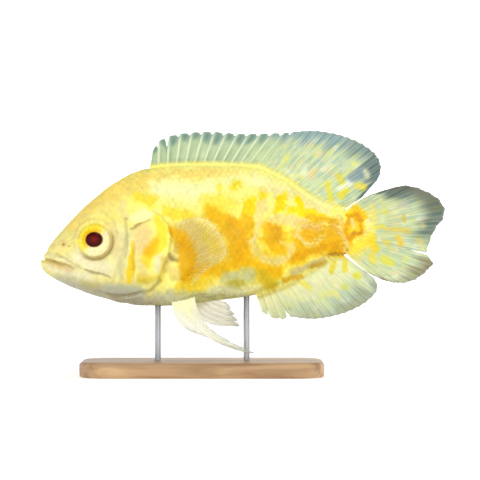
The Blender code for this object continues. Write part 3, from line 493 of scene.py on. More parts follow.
# Marks on the head and gill cover
HEAD_MARKS = [
    (CREAM, 0.85, 6.5, 4, [(16, -14), (27, -13), (32, -4)]),
    # The next two bands, from the mouth's corner and along the lower lip: partly their own pale colour,
    # partly painted highlight
    (PALE_CREAM, 0.8, 2.6, 1.8, [(15, -9.5), (20, -13.2), (26, -14.4)]),
    (PALE_CREAM, 0.75, 1.4, 1, [(3, -14.2), (8, -15.2), (12.6, -16.6), (19, -17.6)]),
    (GREY_CREAM, 0.9, 3.7, 2.8, [(7, -20.6), (16, -22.8), (26, -24.8), (38, -26.6)]),
    (OLIVE, 0.3, 1.4, 1.4, [(17, -20.2), (22, -21.6)]),
    ((176, 190, 176), 0.6, 1.6, 2.2, [(28, -22), (34.6, -22.2), (40, -22.8)]),
    ((222, 190, 130), 0.6, 1.2, 1.2, [(4.6, -12.1), (9, -13.3), (12, -14.6)]),
    ((226, 178, 120), 0.55, 1.4, 1.6, [(9.4, -4.4)]),
    (PINKISH, 0.4, 2.2, 2, [(30, -2), (31, -8)]),
    # A pale band along the upper lip: partly its own colour, partly painted highlight
    (PALE_CREAM, 0.6, 1, 0.9, [(3, -8.8), (7, -10), (11, -11.4)]),
    (GOLD, 0.6, 2.6, 2.2, [(12, 2.6), (19, 9.6), (26, 14.6), (33, 18.6)]),
    (CREAM, 0.8, 1.4, 1.2, [(33.6, -6), (33, -12), (31.6, -17)]),
    ((226, 204, 150), 0.5, 1.3, 1.3, [(34.4, 5.8), (32.4, 8.6), (33, 11.4)]),
    (PINKISH, 0.8, 3.6, 2.2, [(41, -0.6), (41.4, -5.6)]),
    ((214, 196, 140), 0.5, 1.6, 1.6, [(40.2, -11.6), (40.8, -16)]),
    (LEMON, 0.95, 2.2, 0.9, [(37.4, 5.4, 0.8), (41.4, 6.6, 1.1), (45.2, 6, 0.4)]),
    (YELLOW, 1, 2.3, 0.9, [(46.2, 5.6, 0.5), (48.4, 1.2, 1), (48.2, -3.6, 1.1), (45.6, -8.4, 0.6)]),
    (ORANGE, 0.85, 1.9, 1.1, [(45.6, -4, 0.6), (43.2, -7.6, 1.1), (42.2, -11, 0.7)]),
    (YELLOW, 0.85, 1.4, 0.9, [(41.6, -10.6, 1), (43.2, -13.6, 0.5)]),
    ((206, 182, 40), 0.85, 1.5, 1.2, [(39.6, -19.2, 0.6), (42.6, -20), (46.2, -19, 0.7)]),
    ((226, 196, 60), 0.5, 1.1, 1, [(39.8, -17.6), (44.2, -18)]),
    ((236, 228, 186), 0.8, 1.4, 0.9, [(47.4, -9.8, 0.8), (46.4, -13), (46.2, -15.4, 0.6)]),
    (BROWN_ORANGE, 0.35, 1.5, 1.3, [(49.6, -10.8), (48.6, -15.4), (47.4, -18.6)]),
    (CREAM, 0.55, 1.2, 1, [(41.5, -21.4), (46, -19.6)]),
    (
        (250, 218, 40), 0.95, 1.35, 0.5,
        [(36.6, -4, 0.3), (36.4, -10, 0.8), (35.6, -15.4, 1.2), (35, -20, 0.5)],
    ),
    ((214, 160, 20), 0.5, 0.3, 0.5, [(36.7, -6), (36.5, -11), (36.4, -15.4)]),
    # A darker arc round the top of the pectoral fin's fleshy root: painted shade
    ((198, 164, 110), 0.42, 1.5, 1.5, [(50.4, -11.6), (53.6, -8.6), (57, -10.4), (57.8, -15)]),
    ((228, 208, 120), 0.8, 2.4, 1.3, [(52.4, -15.2), (53.6, -16.6)]),
]

# Fine brown lines of painted shade in the head's creases, folds, mouth slit, gill edge and pits: strength,
# brush radius, softness and path
HEAD_SHADE_LINES = [
    (0.32, 0.25, 0.8, [(33.6, 5.6), (34.4, 2), (34.9, -1), (34.7, -4.4), (34, -9.6)]),
    (0.24, 0.5, 1.3, [(34.6, -1), (33.2, -7), (32.2, -12), (32.4, -18)]),
    (0.30, 0.15, 0.6, [(37.5, -4.2), (37.3, -12), (36.8, -19.6)]),
    (0.65, 0.35, 0.6, [(36.1, 1.2, 0.5), (38.1, 2, 1.4), (40.1, 3.3, 0.7)]),
    (0.45, 0.25, 0.6, [(39.4, 2.4), (41, 4), (43.4, 4.6)]),
    (0.20, 0.2, 0.7, [(44.5, 8.2), (48.6, 5.6), (51.4, 2.6), (52.2, -0.5)]),
    (0.30, 0.3, 0.8, [(52.2, -0.5), (51.9, -5), (51, -8.6)]),
    (0.75, 0.6, 0.9, [(51.2, -8.8, 0.6), (52.6, -10.4, 1.2), (54.2, -11.2, 0.5)]),
    (0.35, 0.35, 1, [(51.4, -9.2), (50.2, -12.6), (48.8, -16)]),
    (0.55, 0.3, 0.8, [(47.6, -19.2), (43.4, -22.9), (39, -24.6), (33.3, -25.8), (26, -25)]),
    (0.22, 0.3, 0.9, [(40, -26.6), (34, -27.4), (28, -26.8)]),
    (0.62, 0.4, 0.7, [(18, -15.3, 0.8), (22.6, -16.3, 1.1), (27.8, -17.7, 0.4)]),
    (0.30, 0.2, 0.8, [(7, -8.4), (10.3, -10.6), (13.1, -12.7), (16.6, -14.6)]),
    (0.35, 0.2, 0.6, [(-4, -9), (2.1, -10.9), (8, -12.3), (13.6, -14.2)]),
    (0.16, 0.2, 0.9, [(28.6, -20), (30.4, -16), (31.6, -12)]),
    (0.16, 0.2, 0.9, [(12, -1), (14.6, 0.6), (15.4, 3)]),
    (0.18, 0.3, 1, [(31, -0.6), (29.4, 4.4), (26, 7.4)]),
    (0.7, 0.35, 0.45, [(9.2, -4.8)]),
    (0.35, 0.2, 0.35, [(11.6, -5.5)]),
    (0.6, 0.3, 0.45, [(34.3, 5.4)]),
]


def world(points):
    """Places on the fish, in millimetres, as points in metres in the model's frame."""
    return (np.asarray(points, float) + np.array([-TOTAL_LENGTH / 2, 0.0, AXIS_HEIGHT])) * MM


def unit(vectors):
    return vectors / np.maximum(np.linalg.norm(vectors, axis=-1, keepdims=True), 1e-9)


def steady_slopes(knots, values):
    """Slopes at the knots that keep a curve from passing beyond the values beside it."""
    rises = np.diff(values, axis=0) / np.diff(knots)[:, None]
    before, after = rises[:-1], rises[1:]
    same_way = before * after > 0
    total = np.where(same_way, before + after, 1.0)
    inner = np.where(same_way, 2 * before * after / total, 0.0)
    return np.vstack([rises[:1], inner, rises[-1:]])


def spline(knots, values, at, steady=False):
    """Smooth curve through the values at the knots, read at the places asked for."""
    knots, values = np.asarray(knots, float), np.asarray(values, float)
    slopes = steady_slopes(knots, values) if steady else np.gradient(values, knots, axis=0)
    at = np.clip(at, knots[0], knots[-1])
    left = np.clip(np.searchsorted(knots, at, side="right") - 1, 0, len(knots) - 2)
    span = knots[left + 1] - knots[left]
    t = ((at - knots[left]) / span)[..., None]
    span = span[..., None]
    start = (2 * t**3 - 3 * t**2 + 1) * values[left] + (t**3 - 2 * t**2 + t) * span * slopes[left]
    return start + (3 * t**2 - 2 * t**3) * values[left + 1] + (t**3 - t**2) * span * slopes[left + 1]


def along(path, count):
    """Points spaced evenly along a smooth curve through a path."""
    path = np.asarray(path, float)
    knots = np.concatenate([[0.0], np.cumsum(np.linalg.norm(np.diff(path, axis=0), axis=1))])
    return spline(knots, path, np.linspace(0.0, knots[-1], count))


def ease(low, high, value):
    """A share that goes smoothly from 0 at one value to 1 at another, which may be the lower one."""
    t = np.clip((value - low) / (high - low), 0.0, 1.0)
    return t * t * (3 - 2 * t)


def bump(distance, width):
    return np.exp(-((distance / width) ** 2))


def ends_eased(share, length):
    """A share that falls to 0 over a length at both ends of a path."""
    return ease(0.0, length, share) * ease(1.0, 1.0 - length, share)


def path_distance(path, u, v):
    """Distance to a path of (u, v) points, the side, positive on its right, and the share along."""
    best, side, share = np.full(np.shape(u), 1e9), np.zeros(np.shape(u)), np.zeros(np.shape(u))
    for number, ((u0, v0), (u1, v1)) in enumerate(zip(path[:-1], path[1:])):
        du, dv = u1 - u0, v1 - v0
        t = np.clip(((u - u0) * du + (v - v0) * dv) / (du * du + dv * dv), 0.0, 1.0)
        distance = np.hypot(u - u0 - t * du, v - v0 - t * dv)
        nearer = distance < best
        best = np.where(nearer, distance, best)
        side = np.where(nearer, -np.sign((v - v0) * du - (u - u0) * dv), side)
        share = np.where(nearer, (number + t) / (len(path) - 1), share)
    return best, side, share


def noise(x, y, size, seed):
    """Smooth random values from -1 to 1 over a plane, with features of about the given size."""
    table = np.random.default_rng(seed).uniform(-1.0, 1.0, (64, 64))
    x, y = np.asarray(x) / size, np.asarray(y) / size
    column, row = np.floor(x).astype(int), np.floor(y).astype(int)
    fx, fy = x - column, y - row
    fx, fy = fx * fx * (3 - 2 * fx), fy * fy * (3 - 2 * fy)

    def level(up):
        """Values along one row of the table's squares."""
        left, right = (table[(row + up) % 64, (column + across) % 64] for across in (0, 1))
        return left * (1 - fx) + right * fx

    return level(0) * (1 - fy) + level(1) * fy


def body_section(u):
    """Back line, belly line, half width and widest level at a distance behind the lip."""
    knots = np.sqrt(BODY_STATIONS[:, 0])
    sizes = spline(knots, BODY_STATIONS[:, 1:], np.sqrt(np.asarray(u, float)), steady=True)
    top, bottom, width, share = np.moveaxis(sizes, -1, 0)
    return top, bottom, width, bottom + share * (top - bottom)


def beyond_body(u, v):
    """How far a place in the side view is beyond the body's outline."""
    top, bottom, _, _ = body_section(np.clip(u, 0.0, BODY_LENGTH))
    return np.maximum(np.maximum(v - top, bottom - v), 0.0) + np.maximum(u - BODY_LENGTH, 0.0)


def half_width(u, v):
    """Distance from the middle plane to the flank at a place in the side view."""
    top, bottom, width, waist = body_section(u)
    reach = np.where(v > waist, top - waist, waist - bottom)
    share = np.clip(np.abs(v - waist) / reach, 0.0, 1.0)
    return width * (1 - share**SECTION_POWER) ** (1 / SECTION_POWER)


def eye_relief(u, v):
    """The socket that the eye sits in, with a raised fleshy ring round it."""
    rim = np.hypot(u - EYE[0], v - EYE[1]) - EYE_RADIUS
    height = -SOCKET_DEPTH * ease(0.0, -1.3, rim)
    for rise, place, width in EYE_FOLDS:
        height = height + rise * bump(rim - place, width)
    return height


def mouth_relief(u, v):
    """Two full lips with the slit of the closed mouth between them."""
    mouth, _, _ = path_distance(MOUTH_LINE, u, v)
    reach = u / MOUTH_CORNER
    return sum(
        rise * bump(mouth - place, width) * (1 - ease(0.6, end, reach))
        for rise, place, width, end in MOUTH_FOLDS
    )


def fold_relief(u, v):
    """Creases of the cheek, jaw and throat, and the thin rays that stretch the throat's skin."""
    height = np.zeros(np.shape(u))
    for depth, width, path in CREASES:
        distance, _, share = path_distance(path, u, v)
        height -= depth * bump(distance, width) * ends_eased(share, CREASE_ENDS)
    distance, side, share = path_distance(THROAT_FOLD, u, v)
    below = np.where(side > 0, ease(0.4, 1.0, distance) * ease(4.6, 3.0, distance), 0)
    rays = np.cos(2 * math.pi * distance / THROAT_RAY_PITCH)
    return height + THROAT_RAY_HEIGHT * below * rays * ease(0, 0.2, share)


def gill_relief(u, v):
    """The gill cover's raised plate, stepping down at its free rear edge."""
    edge, side, share = path_distance(GILL_REAR, u, v)
    inside = edge * side
    plate = GILL_STEP * np.exp(-np.maximum(inside, 0.0) / GILL_STEP_REACH) * ease(-0.2, 0.2, inside)
    rise, outside, width = GILL_GROOVE
    groove = rise * bump(inside + outside, width)
    across, up = u - GILL_CORNER[0], v - GILL_CORNER[1]
    ribs = GILL_RIB_HEIGHT * np.cos(np.arctan2(up, across) * GILL_RIBS)
    ribs = ribs * ease(3.0, 8.0, np.hypot(across, up))
    ribs = ribs * ease(0.6, 2.5, inside) * ease(11.0, 8.0, inside)
    return ends_eased(share, GILL_ENDS) * (plate + groove + ribs)


def relief(u, v):
    """How far the fine skin stands out from the plain body at a place in the side view."""
    height = eye_relief(u, v) + mouth_relief(u, v) + fold_relief(u, v) + gill_relief(u, v)
    for (nostril_u, nostril_v), radius in NOSTRILS:
        distance = np.hypot(u - nostril_u, v - nostril_v)
        rim = NOSTRIL_RIM * bump(distance - radius - 0.25, 0.3)
        height += rim - NOSTRIL_DEPTH * bump(distance, radius * 0.8)
    for pore_u, pore_v in PORES:
        height -= PORE_DEPTH * bump(np.hypot(u - pore_u, v - pore_v), PORE_RADIUS)
    lobe = np.hypot(u - FIN_LOBE[0], v - FIN_LOBE[1])
    behind = ease(*FIN_LOBE_FRONT, u)
    height += FIN_LOBE_SWELL * bump(lobe, FIN_LOBE_RADIUS) * behind
    groove = FIN_LOBE_GROOVE * bump(lobe - FIN_LOBE_RADIUS - 0.9, 0.6)
    height -= groove * behind * ease(*FIN_LOBE_REAR, u)
    return height + sum(rise * noise(u, v, size, seed) for rise, size, seed in SKIN_LUMPS)


def ring_places():
    """Distances behind the lip of the skin's rings, closest on the head."""
    u = np.linspace(0.0, BODY_LENGTH, 4000)
    density = np.interp(u, RING_DENSITY_AT, RINGS_PER_MM)
    count = np.concatenate([[0.0], np.cumsum((density[1:] + density[:-1]) / 2 * np.diff(u))])
    return np.interp(np.arange(1.0, count[-1]), count, u)


def ring_normals(rings):
    """Outward normals of a grid of rings."""
    downward = np.roll(rings, -1, axis=1) - np.roll(rings, 1, axis=1)
    return unit(np.cross(downward, np.gradient(rings, axis=0)))


class Skin:
    """The body's surface: rings of points, spaced evenly by arc from the back down the left side."""

    def __init__(self):
        self.u = ring_places()
        self.plain = self.plain_rings()
        height = relief(self.plain[..., 0], self.plain[..., 2]) - SKIN_INSIDE
        self.points = self.plain + ring_normals(self.plain) * height[..., None]
        self.normals = ring_normals(self.points)

    def plain_rings(self):
        turn = np.linspace(0.0, 2 * math.pi, SECTION_STEPS + 1)
        half = SECTION_STEPS // 2 + 1
        power = 2 / SECTION_POWER
        across = -np.sign(np.sin(turn)) * np.abs(np.sin(turn)) ** power
        upward = np.sign(np.cos(turn)) * np.abs(np.cos(turn)) ** power
        rings = np.empty((len(self.u), SKIN_COLUMNS, 3))
        self.girth = np.empty(len(self.u))
        self.waist_share = np.empty(len(self.u))
        for ring, (u, top, bottom, width, waist) in enumerate(zip(self.u, *body_section(self.u))):
            y = width * across
            v = waist + np.where(upward > 0, top - waist, waist - bottom) * upward
            arc = np.concatenate([[0.0], np.cumsum(np.hypot(np.diff(y), np.diff(v)))])
            at = np.linspace(0.0, arc[-1], SKIN_COLUMNS, endpoint=False)
            rings[ring, :, 0] = u
            rings[ring, :, 1] = np.interp(at, arc, y)
            rings[ring, :, 2] = np.interp(at, arc, v)
            self.girth[ring] = arc[-1]
            self.waist_share[ring] = np.interp(0.0, -v[:half] + waist, arc[:half]) / arc[-1]
        return rings

    def read(self, grid, u, share):
        """Values of a grid at distances behind the lip and shares of the girth."""
        ring = np.interp(u, self.u, np.arange(len(self.u)))
        low = np.minimum(ring.astype(int), len(self.u) - 2)
        f = (ring - low)[..., None]
        column = np.mod(share, 1.0) * SKIN_COLUMNS
        left = column.astype(int) % SKIN_COLUMNS
        right = (left + 1) % SKIN_COLUMNS
        g = (column - np.floor(column))[..., None]
        here, there = (grid[row, left] * (1 - g) + grid[row, right] * g for row in (low, low + 1))
        return here * (1 - f) + there * f


def new_mesh(name, points, face_sets):
    """A mesh of fish places, in millimetres, and arrays of faces with equal numbers of sides."""
    corners = np.concatenate([np.asarray(faces).ravel() for faces in face_sets])
    sides = np.concatenate([np.full(len(faces), np.shape(faces)[1]) for faces in face_sets])
    mesh = bpy.data.meshes.new(name)
    mesh.vertices.add(len(points))
    mesh.vertices.foreach_set("co", world(points).astype(np.float32).ravel())
    mesh.loops.add(len(corners))
    mesh.loops.foreach_set("vertex_index", corners.astype(np.int32))
    mesh.polygons.add(len(sides))
    starts = np.concatenate([[0], np.cumsum(sides)[:-1]])
    mesh.polygons.foreach_set("loop_start", starts.astype(np.int32))
    mesh.update(calc_edges=True)
    mesh.validate()
    mesh.shade_smooth()
    return mesh


def in_scene(name, data):
    """A new object in the scene's collection."""
    made = bpy.data.objects.new(name, data)
    bpy.context.scene.collection.objects.link(made)
    return made


def new_piece(name, mesh, made_of, replaced=()):
    made = in_scene(name, mesh)
    mesh.materials.append(made_of)
    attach(made, "root")
    if replaced:
        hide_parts(*replaced)


def linear(colour):
    """Screen colours from 0 to 255 as the linear light that the shaders work in."""
    share = np.asarray(colour, float) / 255
    return np.where(share <= 0.04045, share / 12.92, ((share + 0.055) / 1.055) ** 2.4)


def set_colours(mesh, colours):
    layer = mesh.color_attributes.new("Colour", "FLOAT_COLOR", "POINT")
    full = np.ones((len(colours), 4), np.float32)
    full[:, :3] = linear(np.clip(colours, 0, 255))
    layer.data.foreach_set("color", full.ravel())


def set_value(mesh, name, values):
    layer = mesh.attributes.new(name, "FLOAT", "POINT")
    layer.data.foreach_set("value", np.asarray(values, np.float32).ravel())


def set_map(mesh, name, places):
    """A UV map from one place for each vertex."""
    layer = mesh.uv_layers.new(name=name)
    corners = np.empty(len(mesh.loops), np.int32)
    mesh.loops.foreach_get("vertex_index", corners)
    layer.data.foreach_set("uv", np.asarray(places, np.float32)[corners].ravel())


def grid_faces(rows, columns, closed=False):
    """Four-sided faces over a grid of points; a closed grid joins its last column to its first."""
    row = np.arange(rows - 1)[:, None] * columns
    column = np.arange(columns if closed else columns - 1)[None, :]
    after = (column + 1) % columns
    corners = (row + column, row + after, row + columns + after, row + columns + column)
    return np.stack(corners, axis=-1).reshape(-1, 4)


def capped_faces(rings, columns):
    """Faces of closed rings of points, with one more point beyond each end, at the list's end."""
    column = np.arange(columns)
    after = (column + 1) % columns
    end = rings * columns
    last = end - columns
    front = np.stack([np.full(columns, end), after, column], axis=1)
    back = np.stack([last + column, last + after, np.full(columns, end + 1)], axis=1)
    return [grid_faces(rings, columns, closed=True), front, back]


def plain_colours(shape, colour):
    return np.ones((*shape, 3)) * np.asarray(colour, float)


def paint(colours, *layers):
    """Lays colours over others, one after another, each by its share from 0 to 1."""
    for over, share in layers:
        share = np.asarray(share)[..., None]
        colours = colours * (1 - share) + np.asarray(over, float) * share
    return colours


def stroke(place, path, radius, soft):
    """How fully a round brush of a radius covers each (u, v) place when drawn along a path.

    A path's points may have a third value, which multiplies the radius there.
    """
    u, v = place
    path = np.array([(*point, 1.0)[:3] for point in path])
    if len(path) == 1:
        return ease(radius + soft, radius - soft, np.hypot(u - path[0, 0], v - path[0, 1]))
    distance, _, share = path_distance(path[:, :2], u, v)
    radius = radius * np.interp(share, np.linspace(0.0, 1.0, len(path)), path[:, 2])
    return ease(radius + soft, radius - soft, distance)


def brushed(colours, place, marks, fullness=1.0):
    """Draws marks over colours, one after another, each as strong as a fullness lets it be."""
    for colour, strength, radius, soft, path in marks:
        colours = paint(colours, (colour, strength * stroke(place, path, radius, soft) * fullness))
    return colours


def eye_shade(u, v):
    """A painted shadow: the brownish crescent under and behind the eye."""
    across, up = u - EYE[0], v - EYE[1]
    turned = np.cos(np.arctan2(up, across) - math.radians(-52.0))
    return bump(np.hypot(across, up) - EYE_RADIUS - 0.75, 0.6) * ease(-0.25, 0.75, turned)


def flank_colours(u, v, level, down):
    """Pale yellow that deepens to the rear, with orange marbling and the flank's marks."""
    warped_u, warped_v = u, v
    for size, reach, seed in ((3.6, 1.0, 21), (1.5, 0.7, 23), (0.7, 0.45, 63)):
        warped_u = warped_u + reach * noise(u, down, size, seed)
        warped_v = warped_v + reach * noise(u, down, size, seed + 1)
    marbling = noise(u, down, 2.7, 25) + 0.6 * noise(u, down, 1.1, 26)
    flank = ease(58, 72, u) * ease(0.78, 0.6, level) * ease(0.08, 0.25, level)
    colours = paint(
        plain_colours(np.shape(u), PALE_YELLOW),
        (YELLOW, 0.5 * ease(60, 84, u) * ease(0.74, 0.5, level)),
        # Grey-green towards the belly: partly the belly's own colour, partly painted shade
        (GREY_GREEN, 0.45 * ease(0.17, 0.03, level)),
        (ORANGE, 0.6 * flank * ease(0.0, 0.8, marbling)),
    )
    colours = brushed(colours, (warped_u, warped_v), BLOTCHES)
    stem = ease(98.0, 110.0, u) * ease(7.5, 4.0, np.abs(v)) * ease(122.0, 118.0, u)
    rows = 0.5 + 0.5 * np.cos(2 * math.pi * warped_v / STEM_ROW_PITCH)
    return paint(
        colours, (YELLOW, 0.4 * flank * ease(0.45, 1.2, -marbling)), (DEEP_ORANGE, 0.6 * stem * rows)
    )


def body_colours(u, y, v):
    """The fish's markings, the same for the skin and for the scales on it."""
    down = v + 0.35 * y
    top, bottom, _, _ = body_section(np.clip(u, 0.0, BODY_LENGTH))
    level = (v - bottom) / np.maximum(top - bottom, 1.0)
    ahead = ease(49.5, 44.0, u - 2.0 * ease(8.0, 2.0, v))
    mottle = noise(u, v, 3.0, 61) + 0.6 * noise(u, v, 1.2, 62)
    place = (
        u + 0.45 * noise(u, v, 2.6, 29) + 0.2 * noise(u, v, 1.0, 30),
        v + 0.45 * noise(v, u, 2.6, 29) + 0.2 * noise(v, u, 1.0, 30),
    )
    colours = paint(
        flank_colours(u, v, level, down),
        (SNOUT_YELLOW, 0.75 * ease(26.0, 8.0, u)),
        (HEAD_PINK, 0.4 * ahead * ease(0.2, 1.2, mottle)),
    )
    colours = brushed(colours, place, HEAD_MARKS)
    # Painted shade: brown lines along the head's creases, folds, slits and pits
    colours = brushed(colours, place, [(BROWN, *line) for line in HEAD_SHADE_LINES])
    colours = paint(colours, (EYE_SHADOW, 0.85 * eye_shade(u, v)))
    grain = 1 + 0.030 * noise(u, down, 0.9, 27) + 0.02 * noise(u, down, 2.2, 28)
    # Painted shade: the lower part of the head a little darker
    lower_head_shade = 1 - 0.05 * ahead * ease(0.4, 0.0, level)
    tinted_share = ease(50.0, 32.0, u + np.maximum(v, 0.0))[..., None]
    return colours * (1 + tinted_share * (np.array(HEAD_TINT) - 1)) * (grain * lower_head_shade)[..., None]


def node(tree, kind, values=None, **settings):
    """Adds a shader node, with its settings, and links or sets its inputs."""
    made = tree.nodes.new("ShaderNode" + kind)
    for name, setting in settings.items():
        setattr(made, name, setting)
    fill(tree, made, values or {})
    return made


def fill(tree, filled, values):
    """Links or sets the inputs of a node, each named or numbered."""
    for name, value in values.items():
        if isinstance(value, bpy.types.NodeSocket):
            tree.links.new(value, filled.inputs[name])
        else:
            filled.inputs[name].default_value = value


def new_material(name):
    """A new material and its node tree."""
    made = bpy.data.materials.new(name)
    made.use_nodes = True
    return made, made.node_tree


def shade(tree, values):
    """Links or sets the inputs of a tree's one main shader."""
    fill(tree, tree.nodes["Principled BSDF"], values)


def noise_node(tree, place, scale, **values):
    return node(tree, "TexNoise", {"Vector": place, "Scale": scale} | values).outputs["Fac"]


def object_place(tree):
    return node(tree, "TexCoord").outputs["Object"]


def object_noise(tree, scale, detail=3.0, roughness=0.55):
    return noise_node(tree, object_place(tree), scale, Detail=detail, Roughness=roughness)


def stretched(tree, place, scale):
    return node(tree, "Mapping", {"Vector": place, "Scale": scale}).outputs["Vector"]


def between(tree, value, low, high):
    """Turns a value from 0 to 1 into one between two others."""
    return node(tree, "MapRange", {"Value": value, "To Min": low, "To Max": high}).outputs["Result"]


def tinted(tree, colour, factor):
    """A colour made lighter or darker by a factor."""
    return node(tree, "VectorMath", {0: colour, "Scale": factor}, operation="SCALE").outputs["Vector"]


def read_value(tree, name, output="Fac"):
    return node(tree, "Attribute", attribute_name=name).outputs[output]


def bumped(tree, height, strength, depth):
    values = {"Height": height, "Strength": strength, "Distance": depth}
    return node(tree, "Bump", values).outputs["Normal"]


def own_waves(tree, map_name, scale, **settings):
    """Waves over the places of a piece's own map."""
    place = node(tree, "UVMap", uv_map=map_name).outputs["UV"]
    return node(tree, "TexWave", {"Vector": place, "Scale": scale}, **settings).outputs["Fac"]


def mesh_coloured(name, mottle):
    """A material with its mesh's own colours, mottled: the mottle's scale, low and high."""
    made, tree = new_material(name)
    factor = between(tree, object_noise(tree, mottle[0]), *mottle[1:])
    shade(tree, {"Base Color": tinted(tree, read_value(tree, "Colour", "Color"), factor)})
    return made, tree


def skin_material():
    """Wet skin with fine pits."""
    made, tree = mesh_coloured("oscar_skin", (1400.0, 0.93, 1.07))
    shade(tree, {
        "Roughness": between(tree, object_noise(tree, 700.0), 0.30, 0.48),
        "Normal": bumped(tree, object_noise(tree, 2600.0, 4.0, 0.6), 0.25, 0.00012),
        "Subsurface Weight": 0.15,
        "Subsurface Radius": (1.0, 0.75, 0.35),
        "Subsurface Scale": 0.001,
        "Specular IOR Level": 0.13,
        "Coat Weight": 0.05,
        "Coat Roughness": 0.2,
    })
    return made


def scale_material():
    """Scales: the skin's own colours under a pearly film, with fine growth rings."""
    made, tree = mesh_coloured("oscar_scales", (1400.0, 0.94, 1.06))
    shade(tree, {
        "Roughness": between(tree, object_noise(tree, 900.0), 0.26, 0.42),
        "Normal": bumped(tree, own_waves(tree, "Scale", 7.0, wave_type="RINGS"), 0.12, 0.00005),
        "Subsurface Weight": 0.1,
        "Subsurface Radius": (1.0, 0.75, 0.35),
        "Subsurface Scale": 0.0006,
        "Specular IOR Level": 0.13,
        "Coat Weight": 0.05,
        "Coat Roughness": 0.22,
    })
    return made


def fin_material(name, clearness):
    """Fin skin: streaked along its rays, and a little see-through between them."""
    made, tree = mesh_coloured(name, (1800.0, 0.9, 1.1))
    shade(tree, {
        "Roughness": between(tree, object_noise(tree, 900.0), 0.34, 0.5),
        "Alpha": between(tree, read_value(tree, "Thin"), 1.0, 1.0 - clearness),
        "Normal": bumped(tree, own_waves(tree, "Ray", 9.0, bands_direction="Y"), 0.15, 0.00006),
        "Subsurface Weight": 0.25,
        "Subsurface Radius": (1.0, 0.9, 0.6),
        "Subsurface Scale": 0.0008,
        "Specular IOR Level": 0.25,
    })
    return made


def eye_material():
    """A wet eye: its painted colours under a clear glossy film."""
    made, tree = mesh_coloured("oscar_eye", (3500.0, 0.86, 1.12))
    shade(tree, {
        "Roughness": 0.4,
        "Specular IOR Level": 0.05,
        "Coat Weight": 0.1,
        "Coat Roughness": 0.03,
    })
    return made


def wood_material():
    """Pale oiled oak with long grain and fine pores."""
    made, tree = new_material("stand_oak")
    place = object_place(tree)
    grain = noise_node(tree, stretched(tree, place, (1.0, 9.0, 9.0)), 22.0, Detail=4.0, Distortion=0.6)
    pores = noise_node(tree, stretched(tree, place, (1.0, 30.0, 30.0)), 90.0, Detail=2.0)
    ramp = node(tree, "ValToRGB", {"Fac": grain})
    for stop, position, colour in zip(ramp.color_ramp.elements, (0.35, 0.7), (OAK_DARK, OAK_PALE)):
        stop.position = position
        stop.color = (*linear(colour), 1.0)
    shade(tree, {
        "Base Color": tinted(tree, ramp.outputs["Color"], between(tree, pores, 0.82, 1.12)),
        "Roughness": between(tree, pores, 0.34, 0.52),
        "Normal": bumped(tree, pores, 0.2, 0.0001),
    })
    return made


def steel_material():
    """Brushed steel, with fine marks round each rod."""
    made, tree = new_material("stand_brushed_steel")
    place = stretched(tree, object_place(tree), (1.0, 1.0, 14.0))
    marks = noise_node(tree, place, 900.0, Detail=2.0)
    steel = node(tree, "RGB").outputs["Color"]
    steel.default_value = (*linear(STEEL), 1.0)
    shade(tree, {
        "Base Color": tinted(tree, steel, between(tree, marks, 0.9, 1.08)),
        "Roughness": between(tree, marks, 0.22, 0.4),
        "Metallic": 1.0,
    })
    return made


def make_skin(skin, made_of):
    """The rings of the skin, closed by a point at the lip and one at the rear end."""
    ends = [[-0.05, 0.0, BODY_STATIONS[0, 1]], skin.points[-1].mean(axis=0)]
    points, plain = (np.vstack([rings.reshape(-1, 3), ends]) for rings in (skin.points, skin.plain))
    mesh = new_mesh("skin", points, capped_faces(*skin.points.shape[:2]))
    set_colours(mesh, body_colours(*plain.T))
    new_piece("skin", mesh, made_of, FLESH)


def scale_roots():
    """Places of the scales on one side: distance behind the lip, arc below the waist, and size."""
    size_at = np.linspace(*SCALES_REACH, 600)
    size = np.interp(size_at, SCALE_SHRINK_AT, SCALE_SHRINK)
    steps = np.concatenate([[0.0], np.cumsum(np.diff(size_at) / (SCALE_PITCH * size[1:]))])
    places = []
    for row in range(-SCALE_ROWS, SCALE_ROWS + 1):
        start = 0.5 if row % 2 else 0.0
        at = np.interp(np.arange(start, steps[-1]), steps, size_at)
        shrink = np.interp(at, SCALE_SHRINK_AT, SCALE_SHRINK)
        places.append(np.stack([at, row * SCALE_ROW_PITCH * shrink, shrink], axis=1))
    return np.vstack(places)


def scaled_here(skin, places):
    """Which of the places lie on the scaled part of the body, behind the gill cover."""
    u, arc, shrink = places.T
    girth = np.interp(u, skin.u, skin.girth)
    waist = np.interp(u, skin.u, skin.waist_share)
    room = SCALE_ROOM * SCALE_ROW_PITCH * shrink
    fits = (waist * girth + arc > room) & ((0.5 - waist) * girth - arc > room)
    v = skin.read(skin.plain, u, waist + arc / girth)[:, 2]
    _, side, _ = path_distance(SCALED_FROM, u, v)
    lobe = np.hypot(u - FIN_LOBE[0], v - FIN_LOBE[1])
    return fits & (side > 0) & (lobe > FIN_LOBE_RADIUS + 0.3)


def plate_shape():
    """One plate in its own terms: along, across and lift, over a square grid."""
    down = np.linspace(0.0, 1.0, SCALE_CELLS + 1)[:, None]
    across = np.linspace(-1.0, 1.0, SCALE_CELLS + 1)[None, :]
    rounded = 1 - SCALE_ROUNDING * np.abs(across) ** 2.4
    lengthwise = SCALE_HIDDEN + (1 - SCALE_HIDDEN) * down * rounded
    broad = np.sin(math.pi * np.minimum(down + 0.25, 1.0))
    widthwise = across * (1 - SCALE_NARROWING + SCALE_NARROWING * broad)
    lift = lengthwise - SCALE_TUCK + SCALE_DOME * (1 - across**2) * down * (1 - 0.5 * down)
    return lengthwise, widthwise, lift


def plate_faces():
    """Faces of a plate's outer and under sides, which share the rim, and the points they use."""
    cells = SCALE_CELLS + 1
    number = np.arange(cells * cells).reshape(cells, cells)
    under_number = number.copy()
    under_number[1:-1, 1:-1] += cells * cells
    outer = grid_faces(cells, cells)
    under = under_number.ravel()[outer][:, ::-1]
    used, faces = np.unique(np.vstack([outer, under]), return_inverse=True)
    return used, faces.reshape(-1, 4)


